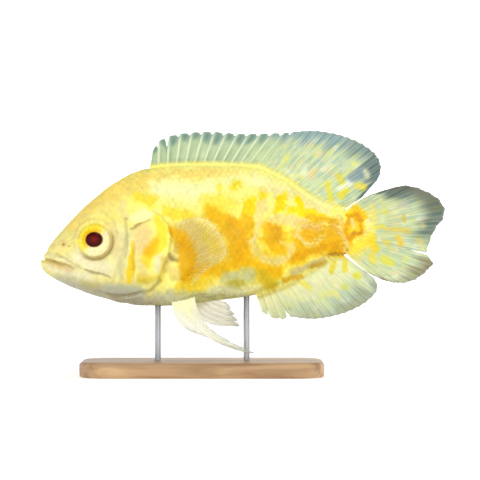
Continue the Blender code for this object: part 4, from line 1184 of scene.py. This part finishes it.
def make_scales(skin, made_of):
    """The coat: one thin curved plate for each scale, tucked in at its front end."""
    places = scale_roots()
    places = places[scaled_here(skin, places)]
    count = len(places)
    chance = np.random.default_rng(SCALE_SEED)
    reach_chance, rise_chance, tone_chance = (chance.uniform(-1, 1, (count, 1, 1)) for _ in range(3))
    lengthwise, widthwise, lift = plate_shape()
    used, faces = plate_faces()
    u0, arc0, shrink = (places[:, i][:, None, None] for i in range(3))
    reach = SCALE_LENGTH * SCALE_PITCH * shrink * (1 + SCALE_REACH_CHANCE * reach_chance)
    u = np.minimum(u0 + (lengthwise - SCALE_HIDDEN) * reach, BODY_LENGTH - 0.5)
    arc = arc0 + widthwise * SCALE_WIDTH * SCALE_ROW_PITCH / 2 * shrink
    share = np.interp(u, skin.u, skin.waist_share) + arc / np.interp(u, skin.u, skin.girth)
    rise = lift * SCALE_LIFT * (1 + shrink) + SCALE_RISE_CHANCE * rise_chance
    # Each scale's tone: a random shift, with painted light lighter at its exposed rear rim and painted shade
    # at its tucked front end under the scale ahead
    tone_and_painted_light = 1 + SCALE_TONE_CHANCE * tone_chance + 0.06 * ease(0.7, 1.0, lengthwise)
    tone_and_painted_light = tone_and_painted_light - 0.05 * ease(0.5, 0.3, lengthwise)
    tones_and_painted_light = np.tile(tone_and_painted_light.reshape(count, -1), (1, 2))[:, used].reshape(-1, 1)
    inner = np.zeros(lengthwise.shape)
    inner[1:-1, 1:-1] = SCALE_THICKNESS
    local = np.stack([lengthwise, 0.5 + 0.5 * widthwise], axis=-1).reshape(-1, 2)
    local = np.tile(local, (2, 1))[used]
    starts = len(used) * np.arange(count)[:, None, None]
    for name, mirrored in (("scales_left", False), ("scales_right", True)):
        at = 1 - share if mirrored else share
        normal = skin.read(skin.normals, u, at)
        outer = skin.read(skin.points, u, at) + normal * rise[..., None]
        under = outer - normal * inner[..., None]
        both = [side.reshape(count, -1, 3) for side in (outer, under)]
        points = np.concatenate(both, axis=1)[:, used].reshape(-1, 3)
        turned_faces = faces[:, ::-1] if mirrored else faces
        mesh = new_mesh(name, points, [(turned_faces + starts).reshape(-1, 4)])
        set_colours(mesh, tones_and_painted_light * body_colours(*points.T))
        root = np.stack([u0[:, 0, 0] / BODY_LENGTH, at[:, 0, SCALE_CELLS // 2]], axis=1)
        unwrapped = 0.02 + 0.96 * root[:, None, :] + UNWRAP_PATCH * (local - 0.5)
        set_map(mesh, "Scale", np.tile(local, (count, 1)))
        set_map(mesh, "OFBake", unwrapped.reshape(-1, 2))
        mesh.set_sharp_from_angle(angle=SCALE_CREASE)
        new_piece(name, mesh, made_of)


def flat_points(path, level=0.0):
    """Points (u, v) of a path as places on the fish at one level across it."""
    return np.insert(np.asarray(path, float), 1, level, axis=1)


def ray_ridges(at, t, spines):
    """How far the rays stand up, from 0 to 1: spines stay single, and soft rays fork twice."""
    offset = at - np.round(at)
    soft = ease(spines - 0.6, spines - 0.4, at)
    fork = soft * RAY_FORK * ease(0.28, 0.8, t)
    twig = soft * RAY_TWIG * ease(0.62, 1.0, t)
    width = RAY_WIDTH - soft * RAY_NARROWING * ease(0.1, 0.8, t)
    ridge = np.zeros(np.broadcast(at, t).shape)
    for first, second in ((-1, -1), (-1, 1), (1, -1), (1, 1)):
        ridge = np.maximum(ridge, bump(offset - first * fork - second * twig, width))
    return ridge


def fin_centres(roots, tips, bows, notches, rows):
    """Each column's ray number, each row's share of the way out, and a fin's middle surface."""
    at = np.linspace(0.0, len(roots) - 1.0, (len(roots) - 1) * FIN_STEPS + 1)
    left = np.minimum(at.astype(int), len(roots) - 2)
    notch, past = np.broadcast_to(notches, len(roots) - 1)[left], at - left
    scallop = notch * bump(past - NOTCH_AT, NOTCH_WIDTH)
    scallop = scallop + np.minimum(notch, SPINE_NOTCH) / 2 * (2 * np.abs(past - LAPPET_TOP)) ** 3
    fringe = FRINGE * (1 - ray_ridges(at, 1.0, 0.0))
    t = np.linspace(0.0, 1.0, rows)[None, :]
    part = (t * (1 - scallop - fringe)[:, None])[..., None]

    def ray(number):
        straight = roots[number][:, None] + (tips[number] - roots[number])[:, None] * part
        return straight + 4 * part * (1 - part) * bows[number][:, None]

    share = past[:, None, None]
    return at[:, None], t, ray(left) * (1 - share) + ray(left + 1) * share


def sheet_faces(columns, rows):
    """Faces of a grid's two copies, back to back, and of the rim that joins them."""
    number = np.arange(columns * rows).reshape(columns, rows)
    rim = np.concatenate([number[:, 0], number[-1, 1:], number[-2::-1, -1], number[0, -2:0:-1]])
    after = np.roll(rim, -1)
    face = grid_faces(columns, rows)
    back = number.size
    return [face, face[:, ::-1] + back, np.stack([rim, after, back + after, back + rim], axis=1)]


def make_fin(
    name, roots, tips, look, made_of, notches=SOFT_NOTCH, bows=None, wave=None, rows=FIN_ROWS,
    spines=0, sheath=0.0, ray_height=RAY_HEIGHT,
):
    """A thin closed sheet with its rays raised on both faces.

    A wave is its reach at the tips, its number of waves and its phase.
    """
    bows = np.zeros(roots.shape) if bows is None else bows
    at, t, centres = fin_centres(roots, tips, bows, notches, rows)
    if wave:
        reach, waves, phase = wave
        s = np.linspace(0.0, 1.0, len(at))[:, None]
        centres[..., 1] += reach * t**1.5 * np.sin(2 * math.pi * waves * s + phase)
    u, v = centres[..., 0], centres[..., 2]
    ridge = ray_ridges(at, t, spines)
    stiff = ease(spines + 0.5, spines - 0.5, at)
    thickness = FIN_MEMBRANE + (ray_height + SPINE_EXTRA * stiff) * (1 - RAY_TAPER * t) * ridge
    thickness = thickness + sheath * bump(beyond_body(u, v), SHEATH_REACH)
    thickness = thickness * (1 - RIM_THINNING * ease(0.95, 1.0, t))
    normals = unit(np.cross(np.gradient(centres, axis=0), np.gradient(centres, axis=1)))
    shift = normals * thickness[..., None] / 2
    points = np.concatenate([(centres - shift).reshape(-1, 3), (centres + shift).reshape(-1, 3)])
    mesh = new_mesh(name, points, sheet_faces(*ridge.shape))
    set_colours(mesh, np.tile(look(u, v, at, t, ridge).reshape(-1, 3), (2, 1)))
    thin = (1 - ray_height * ridge) * ease(0.12, 0.5, t)
    set_value(mesh, "Thin", np.tile(thin.ravel(), 2))
    own = np.stack(np.broadcast_arrays(at / at[-1], t), axis=-1).reshape(-1, 2)
    set_map(mesh, "Ray", np.tile(own, (2, 1)))
    new_piece(name + "_web", mesh, made_of, [name])


def middle_fin_colours(u, v, at, t, ridge, spines):
    """Pale green skin with paler rays, small dabs of other tints, and dark lines between rays."""
    soft = ease(spines - 1.0, spines + 1.0, at)
    deeper = (0.55 + 0.45 * noise(u, v, 3.4, 33)) * (1 - ridge) * (1 - 0.45 * soft)
    colours = paint(plain_colours(u.shape, FIN_PALE), (FIN_GREEN, deeper))
    for tint, strength, seed in FIN_DABS:
        dab = noise(0.9 * at, 11 * t, 1.0, seed) + 0.5 * noise(u, v, 1.6, seed + 1)
        colours = paint(colours, (tint, strength * soft * ease(0.25, 0.8, dab)))
    dark_line = (1 - ridge) ** 3 * ease(-0.1, 0.7, noise(3.1 * at, 8 * t, 1.0, 39))
    return paint(colours, (FIN_TEAL, 0.6 * soft * dark_line))


def ray_reach(at, t, seed):
    """Distance out along a fin, nudged a little for each ray so that margins look streaked."""
    return t + 0.11 * noise(1.7 * at, 0.2 * t, 1.0, seed) + 0.05 * noise(0.5 * at, 3 * t, 1.0, seed + 1)


def finished(colours, u, v, at, t, spines, rim_from=0.97):
    """A middle fin's colours with its marks, stronger on the rays, its rim and the body's at its root."""
    place = (u + 0.5 * noise(u, v, 1.9, 31), v + 0.5 * noise(u, v, 1.9, 32))
    soft = ease(spines - 1.0, spines + 1.0, at)
    streaks = 0.5 + 0.5 * np.cos(2 * math.pi * at * (1 + soft))
    colours = brushed(colours, place, FIN_SPOTS, 0.55 + 0.45 * streaks)
    fade, ragged = (np.interp(u, ROOT_FADE_AT, values) for values in (ROOT_FADE, ROOT_RAGGED))
    beyond = beyond_body(u, v) + ragged * fade * noise(u, v, 1.7, 35)
    return paint(
        colours,
        (FIN_RIM, 0.4 * ease(rim_from, 0.985, t)),
        (body_colours(u, 0 * u, v), ease(fade, 0.0, beyond)),
    )


def dorsal_look(u, v, at, t, ridge):
    """Pale spines with dark green beside them, and a blue margin that turns slate at the rear."""
    reach = ray_reach(at, t, 41)
    front = ease(13.5, 9.0, at)
    past_spine = np.mod(at, 1.0)
    beside_spine = bump(past_spine - 0.25, 0.16) * ease(0.95, 0.3, t)
    margin = ease(0.66, 0.95, reach) * (1 - 0.4 * ridge) * (1 - 0.4 * front)
    lappet = ease(0.7, 0.88, reach) * ease(1.0, 0.94, t) * bump(past_spine - 0.45, 0.26)
    rear = ease(19.0, 27.0, at) * ease(0.66, 0.92, reach) * (1 - 0.5 * ridge)
    colours = paint(
        middle_fin_colours(u, v, at, t, ridge, DORSAL_SPINES),
        (FIN_DARK_GREEN, 0.3 * front * beside_spine),
        (FIN_GREEN, 0.5 * front * (1 - ridge) * ease(0.3, 0.8, t)),
        (FIN_BLUE, 0.85 * margin),
        (FIN_DARK_GREEN, 0.75 * front * lappet),
        (SPINE_WHITE, 0.6 * front * ridge**3 * ease(1.0, 0.8, t)),
        (FIN_SLATE, 0.9 * rear),
    )
    return finished(colours, u, v, at, t, DORSAL_SPINES)


def anal_look(u, v, at, t, ridge):
    """A cream front and middle, and a grey margin that turns olive at the rear."""
    reach = ray_reach(at, t, 43)
    margin = ease(0.62, 0.92, reach) * (1 - 0.5 * ridge)
    colours = paint(
        middle_fin_colours(u, v, at, t, ridge, ANAL_SPINES),
        (FIN_CREAM, 0.6 * ease(0.8, 0.4, t)),
        (FIN_GREY, 0.55 * margin * ease(2.0, 5.0, at)),
        (FIN_OLIVE, 0.4 * ease(4.0, 12.0, at) * ease(0.8, 0.98, reach)),
        (FIN_CREAM, 0.75 * ease(3.6, 1.8, at) * (1 - 0.4 * t)),
    )
    return finished(colours, u, v, at, t, ANAL_SPINES)


def tail_look(u, v, at, t, ridge):
    """Slate above and behind, brown and olive below, and yellow-green in the middle."""
    reach = ray_reach(at, t, 45)
    streaked = 1 - 0.35 * ridge
    upper = ease(6.5, 3.5, at)
    dark_from = 0.54 + 0.26 * ease(3.5, 0.0, at)
    rear = ease(0.72, 0.97, reach) * ease(11.4, 9.0, at)
    inner = ease(0.75, 0.4, t) * (0.5 + 0.5 * noise(u, v, 2.4, 49))
    brown = ease(0.66, 0.95, reach) * ease(11.8, 13.0, at) * streaked
    colours = paint(
        middle_fin_colours(u, v, at, t, ridge, 0),
        (FIN_SLATE, 0.95 * streaked * ease(dark_from, dark_from + 0.24, reach) * upper),
        (FIN_SLATE, 0.85 * streaked * rear * (1 - upper)),
        (FIN_BROWN, 0.6 * ridge * ease(0.8, 0.95, reach) * ease(9.0, 6.0, at)),
        (FIN_YELLOW, 0.5 * inner),
        (FIN_BROWN, 0.85 * brown * ease(16.0, 13.5, at)),
        (FIN_OLIVE, 0.75 * brown * ease(13.5, 16.0, at)),
        (FIN_CREAM, 0.6 * ease(17.2, 18.6, at) * ease(0.8, 0.5, t)),
    )
    return finished(colours, u, v, at, t, 0, 0.975)


def pectoral_look(u, v, at, t, ridge):
    """Thin dull yellow skin, dappled, with an orange wedge at its root like the flank's own."""
    place = [line + 0.9 * noise(2 * at, 4 * t, 1.0, seed) for line, seed in ((u, 47), (v, 48))]
    rear = 0.6 * ease(6.5, 10.0, at) * ease(0.4, 0.7, t)
    colours = paint(plain_colours(u.shape, PECTORAL_PINK), (PECTORAL_REAR, rear))
    for tint, size, seed in PECTORAL_DAPPLES:
        dapple = noise(u + 0.6 * v, v, size, seed) + 0.5 * noise(1.5 * at, 5 * t, 1.0, seed + 1)
        colours = paint(colours, (tint, 0.55 * ease(0.1, 0.7, dapple)))
    return paint(
        colours,
        (ORANGE, 0.95 * stroke(place, PECTORAL_WEDGE, 2.5, 1.2)),
        (PECTORAL_YELLOW, 0.8 * stroke(place, PECTORAL_SPOT, 1.4, 1.2)),
        (PALE_CREAM, 0.5 * ease(0.88, 0.98, t)),
        (PALE_CREAM, 0.15 * ridge * ease(0.3, 0.6, t)),
    )


def pelvic_look(u, v, at, t, ridge):
    """White rays with a faint green between them, greyer at their tips."""
    return paint(
        plain_colours(u.shape, PELVIC_CREAM),
        (PELVIC_WHITE, 0.9 * ease(0.1, 0.4, t)),
        (PELVIC_GREEN, 0.5 * (1 - ridge) * ease(0.3, 0.7, t)),
        (PELVIC_GREY, 0.7 * ease(0.82, 1.0, t)),
    )


def edge_points(edges, counts):
    """The tips of a fin's rays, evenly spaced along each of its edges."""
    return flat_points(np.vstack([along(edge, count) for edge, count in zip(edges, counts)]))


def make_middle_fin(name, sizes, line, look, made_of):
    """A dorsal or anal fin, which stands on the back line or the belly line."""
    counts, front_notches = sizes["counts"], sizes["front_notches"]
    u = np.concatenate([np.linspace(*ends, count) for ends, count in zip(sizes["roots"], counts)])
    roots = flat_points(np.stack([u, body_section(u)[line]], axis=1))
    tips = edge_points(sizes["edges"], counts)
    roots = roots - FIN_SUNK * unit(tips - roots)
    notches = np.repeat([SPINE_NOTCH, SOFT_NOTCH], [counts[0], counts[1] - 1])
    notches[: len(front_notches)] = front_notches
    make_fin(
        name, roots, tips, look, made_of, notches, wave=MIDDLE_FIN_WAVE, spines=counts[0], sheath=SHEATH
    )


def make_tail_fin(made_of):
    """The tail fin, split between its upper and lower rays as in the photograph."""
    rays = sum(TAIL_RAYS)
    notches = np.full(rays - 1, SOFT_NOTCH)
    notches[TAIL_RAYS[0] - 1] = TAIL_NOTCH
    bows = np.zeros((rays, 3))
    bows[:, 2] = TAIL_BOW * np.linspace(1.0, -1.0, rays) ** 3
    roots, tips = flat_points(along(TAIL_ROOTS, rays)), edge_points(TAIL_EDGES, TAIL_RAYS)
    make_fin(
        "tail_fin", roots, tips, tail_look, made_of, notches, bows, TAIL_WAVE, LONG_FIN_ROWS,
        sheath=SHEATH / 2,
    )


def make_pectoral_fin(name, side, made_of):
    """A rounded fan that lies along the flank behind the gill cover."""
    roots = flat_points(along(PECTORAL_ROOTS, PECTORAL_RAYS), side * PECTORAL_ROOT_OUT)
    tips = flat_points(along(PECTORAL_EDGE, PECTORAL_RAYS), side * PECTORAL_TIP_OUT)
    bows = np.zeros((PECTORAL_RAYS, 3))
    bows[:, 1] = side * PECTORAL_BOW
    make_fin(name, roots, tips, pectoral_look, made_of, bows=bows, ray_height=PECTORAL_RAY_HEIGHT)


def make_pelvic_fin(name, side, rays, out, made_of):
    """A narrow fin below the chest, with its longest ray near its front."""
    root_u, tip_u, tip_v, bow = np.array(rays).T
    count = len(rays)
    root_out = side * (PELVIC_ROOT_OUT + PELVIC_ROOT_STEP * np.arange(count))
    roots = np.stack([root_u, root_out, np.full(count, PELVIC_ROOT_LEVEL)], axis=1)
    reach = (tip_u - root_u) / (tip_u[1] - root_u[1])
    tip_out = side * (PELVIC_ROOT_OUT + (out - PELVIC_ROOT_OUT) * reach)
    tips = np.stack([tip_u, tip_out, tip_v], axis=1)
    chord = unit(tips - roots)
    bows = np.stack([chord[:, 2], np.zeros(count), -chord[:, 0]], axis=1) * bow[:, None]
    make_fin(
        name, roots, tips, pelvic_look, made_of, SPINE_NOTCH, bows, rows=LONG_FIN_ROWS, spines=1,
        ray_height=PELVIC_RAY_HEIGHT,
    )


def make_fins():
    middle = fin_material("oscar_fin", 0.12)
    paired = fin_material("oscar_paired_fin", 0.78)
    pelvic = fin_material("oscar_pelvic_fin", 0.6)
    make_middle_fin("dorsal_fin", DORSAL_FIN, BACK_LINE, dorsal_look, middle)
    make_middle_fin("anal_fin", ANAL_FIN, BELLY_LINE, anal_look, middle)
    make_tail_fin(middle)
    for hand, side in SIDES.items():
        make_pectoral_fin(f"pectoral_fin_{hand}", side, paired)
    for hand, side in SIDES.items():
        make_pelvic_fin(f"pelvic_fin_{hand}", side, PELVIC_RAYS[hand], PELVIC_TIPS_OUT[hand], pelvic)


def eye_colours(back, up, distance):
    """A dark red pupil in an iris that is gold above and in front, and cream behind and below."""
    turn = np.arctan2(up, back)
    from_pupil = np.hypot((back - PUPIL_SHIFT[0]) / 1.04, (up - PUPIL_SHIFT[1]) / 0.90)
    fibres = noise(turn * 9, distance * 0.6, 0.35, 51) + 0.5 * noise(turn * 9, distance, 0.14, 52)
    toward_gold = np.cos(turn - math.radians(140.0))
    near = ease(2.3, 0.9, from_pupil - PUPIL_RADIUS)
    behind = ease(-0.5, 0.7, np.cos(turn + math.radians(40.0)))
    iris = paint(
        plain_colours(distance.shape, IRIS_CREAM),
        (IRIS_YELLOW, 0.95 * ease(-0.35, 0.35, toward_gold)),
        (IRIS_GOLD, 0.85 * near * ease(-0.35, 0.5, toward_gold)),
        (IRIS_GREEN, 0.5 * bump(turn + 1.9, 0.7)),
    )
    pupil = paint(plain_colours(distance.shape, PUPIL_DARK), (PUPIL_RED, ease(PUPIL_RADIUS, 0.0, from_pupil)))
    return paint(
        iris * (1 + 0.07 * fibres)[..., None],
        # Painted shade: brown on the iris's rim behind and below, where the eye's edge lies in shadow
        (IRIS_RIM_SHADE, 0.6 * behind * bump(distance - EYE_RADIUS, 0.5)),
        (PUPIL_RIM, 0.75 * bump(from_pupil - PUPIL_RADIUS - 0.05, 0.22)),
        (pupil, ease(PUPIL_RADIUS + 0.1, PUPIL_RADIUS - 0.12, from_pupil)),
    )


def make_eye(name, side, made_of):
    """An eyeball set in the head and facing a little forward and up."""
    front = np.linspace(0.0, math.pi / 2, EYE_RINGS)[1:]
    behind = np.linspace(0.0, math.pi / 2, EYE_RINGS // 3)[1:-1]
    distance = EYE_RADIUS * np.concatenate([np.sin(front), np.cos(behind)])
    lens = LENS_BULGE * ease(PUPIL_RADIUS + 0.5, PUPIL_RADIUS - 0.9, EYE_RADIUS * np.sin(front))
    out = np.concatenate([EYE_BULGE * np.cos(front) + lens, -EYE_DEPTH * np.sin(behind)])
    facing = unit(np.array([-math.sin(EYE_YAW), side * math.cos(EYE_YAW), math.sin(EYE_PITCH)]))
    upward = unit(np.array([0.0, 0.0, 1.0]) - facing * facing[2])
    backward = np.cross(upward, facing) * -side
    turn = np.linspace(0.0, 2 * math.pi, EYE_SIDES, endpoint=False)
    back, up = (distance[:, None] * course for course in (np.cos(turn), np.sin(turn)))
    centre = np.array([EYE[0], side * (float(half_width(*EYE)) - EYE_SUNK), EYE[1]])
    body = centre + back[..., None] * backward + up[..., None] * upward + out[:, None, None] * facing
    ends = [centre + facing * (EYE_BULGE + LENS_BULGE), centre - facing * EYE_DEPTH]
    faces = capped_faces(len(distance), EYE_SIDES)
    if side < 0:
        faces = [face[:, ::-1] for face in faces]
    mesh = new_mesh(name, np.vstack([body.reshape(-1, 3), ends]), faces)
    colours = eye_colours(back, up, np.broadcast_to(distance[:, None], back.shape)).reshape(-1, 3)
    middle = eye_colours(*np.zeros((3, 1)))
    set_colours(mesh, np.vstack([colours, middle, middle]))
    new_piece(name + "_ball", mesh, made_of, [name])


def turned(profile, sides):
    """Points and faces of a profile of (radius, height) turned round the upright axis."""
    turn = np.linspace(0.0, 2 * math.pi, sides, endpoint=False)
    radius, height = np.array(profile).T[..., None]
    rings = np.stack([radius * np.cos(turn), radius * np.sin(turn), height + 0 * turn], axis=-1)
    ends = [(0.0, 0.0, profile[0][1]), (0.0, 0.0, profile[-1][1])]
    return np.vstack([rings.reshape(-1, 3), ends]), capped_faces(len(profile), sides)


def make_rod(name, place, made_of):
    """A rod from inside the board to inside the belly, with its ends a little rounded."""
    low = BASE_THICKNESS - ROD_SUNK - AXIS_HEIGHT
    high = float(body_section(place)[1]) + ROD_SUNK
    tapered, full = 0.9 * ROD_RADIUS, ROD_RADIUS
    profile = [
        (tapered, low), (full, low + ROD_ROUNDING), (full, BASE_THICKNESS - AXIS_HEIGHT),
        (full, high - ROD_ROUNDING), (tapered, high),
    ]
    points, faces = turned(profile, 48)
    mesh = new_mesh(name, points + (place, 0.0, 0.0), faces)
    mesh.set_sharp_from_angle(angle=STAND_CREASE)
    new_piece(name + "_bar", mesh, made_of, [name])


def make_base(made_of):
    """A flat board with round corners and soft edges."""
    corner = np.linspace(0.0, math.pi / 2, 13)
    turn = (np.arange(4)[:, None] * math.pi / 2 + corner).ravel()
    straight = np.array([BASE_LENGTH, BASE_WIDTH]) / 2 - BASE_CORNER
    middles = np.repeat([(1, 1), (-1, 1), (-1, -1), (1, -1)], len(corner), axis=0) * straight
    bend = np.linspace(0.0, math.pi / 2, 7)
    inset = BASE_EDGE * (np.concatenate([np.sin(bend), np.cos(bend)]) - 1)
    level = [BASE_EDGE * (1 - np.cos(bend)), BASE_THICKNESS - BASE_EDGE * (1 - np.sin(bend))]
    outline = np.stack([np.cos(turn), np.sin(turn)], axis=1)
    flat = middles + (BASE_CORNER + inset)[:, None, None] * outline
    rings, count = flat.shape[:2]
    points = np.insert(flat.reshape(-1, 2), 2, np.repeat(np.concatenate(level), count), axis=1)
    top = (rings - 1) * count + np.arange(count)
    faces = [grid_faces(rings, count, closed=True), np.arange(count)[::-1][None], top[None]]
    mesh = new_mesh("stand_base", points + (BASE_CENTRE, 0.0, -AXIS_HEIGHT), faces)
    mesh.set_sharp_from_angle(angle=STAND_CREASE)
    new_piece("stand_base_board", mesh, made_of, ["stand_base"])


def make_backdrop():
    """A wide white floor that curves up all round into a low wall and glows more towards it."""
    made, tree = new_material("pale_backdrop")
    white = node(tree, "RGB").outputs["Color"]
    white.default_value = BACKDROP_TONE
    shade(tree, {
        "Base Color": tinted(tree, white, between(tree, object_noise(tree, 6.0, 2.0), 0.97, 1.0)),
        "Roughness": 0.9,
        "Emission Color": WHITE,
        "Emission Strength": read_value(tree, "Glow"),
    })
    profile = [(reach, 0.0) for reach in np.linspace(0.1, BACKDROP_REACH, 30)]
    for turn in np.linspace(0.0, math.pi / 2, 12)[1:]:
        rise = BACKDROP_BEND * (1 - math.cos(turn))
        profile.append((BACKDROP_REACH + BACKDROP_BEND * math.sin(turn), rise))
    profile.append((BACKDROP_REACH + BACKDROP_BEND, BACKDROP_HEIGHT))
    points, faces = turned(profile, 96)
    mesh = bpy.data.meshes.new("backdrop")
    mesh.from_pydata(points, [], [face[::-1] for side in faces[:2] for face in side.tolist()])
    mesh.shade_smooth()
    mesh.materials.append(made)
    set_value(mesh, "Glow", np.interp(np.hypot(*points.T[:2]), BACKDROP_GLOW_AT, BACKDROP_GLOW))
    backdrop = in_scene("backdrop", mesh)


def aim(obj, place, target):
    obj.location = place
    obj.rotation_euler = (Vector(target) - Vector(place)).to_track_quat("-Z", "Y").to_euler()


def make_lights():
    """Soft studio light: large lamps above and ahead of the fish, and a bright room."""
    for name, place, size, power in LIGHTS:
        lamp = bpy.data.lights.new(name, "AREA")
        lamp.shape = "SQUARE"
        lamp.size = size
        lamp.energy = power
        aim(in_scene(name, lamp), place, LIGHT_TARGET)
    room = bpy.data.worlds.new("room")
    bpy.context.scene.world = room
    room.use_nodes = True
    fill(room.node_tree, room.node_tree.nodes["Background"], {"Color": WHITE, "Strength": WORLD_LIGHT})


def make_camera():
    """A long lens level with the fish's middle, framed as in the photograph."""
    lens = bpy.data.cameras.new("camera")
    lens.lens = CAMERA_LENS
    lens.sensor_width = CAMERA_SENSOR
    made = in_scene("camera", lens)
    middle = world((FRAME_MIDDLE[0], 0.0, FRAME_MIDDLE[1]))
    distance = FRAME_WIDTH * MM * CAMERA_LENS / CAMERA_SENSOR
    aim(made, (middle[0], -distance, middle[2]), tuple(middle))
    bpy.context.scene.camera = made
    bpy.context.scene.view_settings.view_transform = "Standard"


def main():
    make_camera()
    make_lights()
    make_backdrop()
    skin = Skin()
    make_skin(skin, skin_material())
    make_scales(skin, scale_material())
    make_fins()
    eyes = eye_material()
    for hand, side in SIDES.items():
        make_eye(f"eye_{hand}", side, eyes)
    steel = steel_material()
    for name, place in ROD_PLACES.items():
        make_rod(name, place, steel)
    make_base(wood_material())


main()
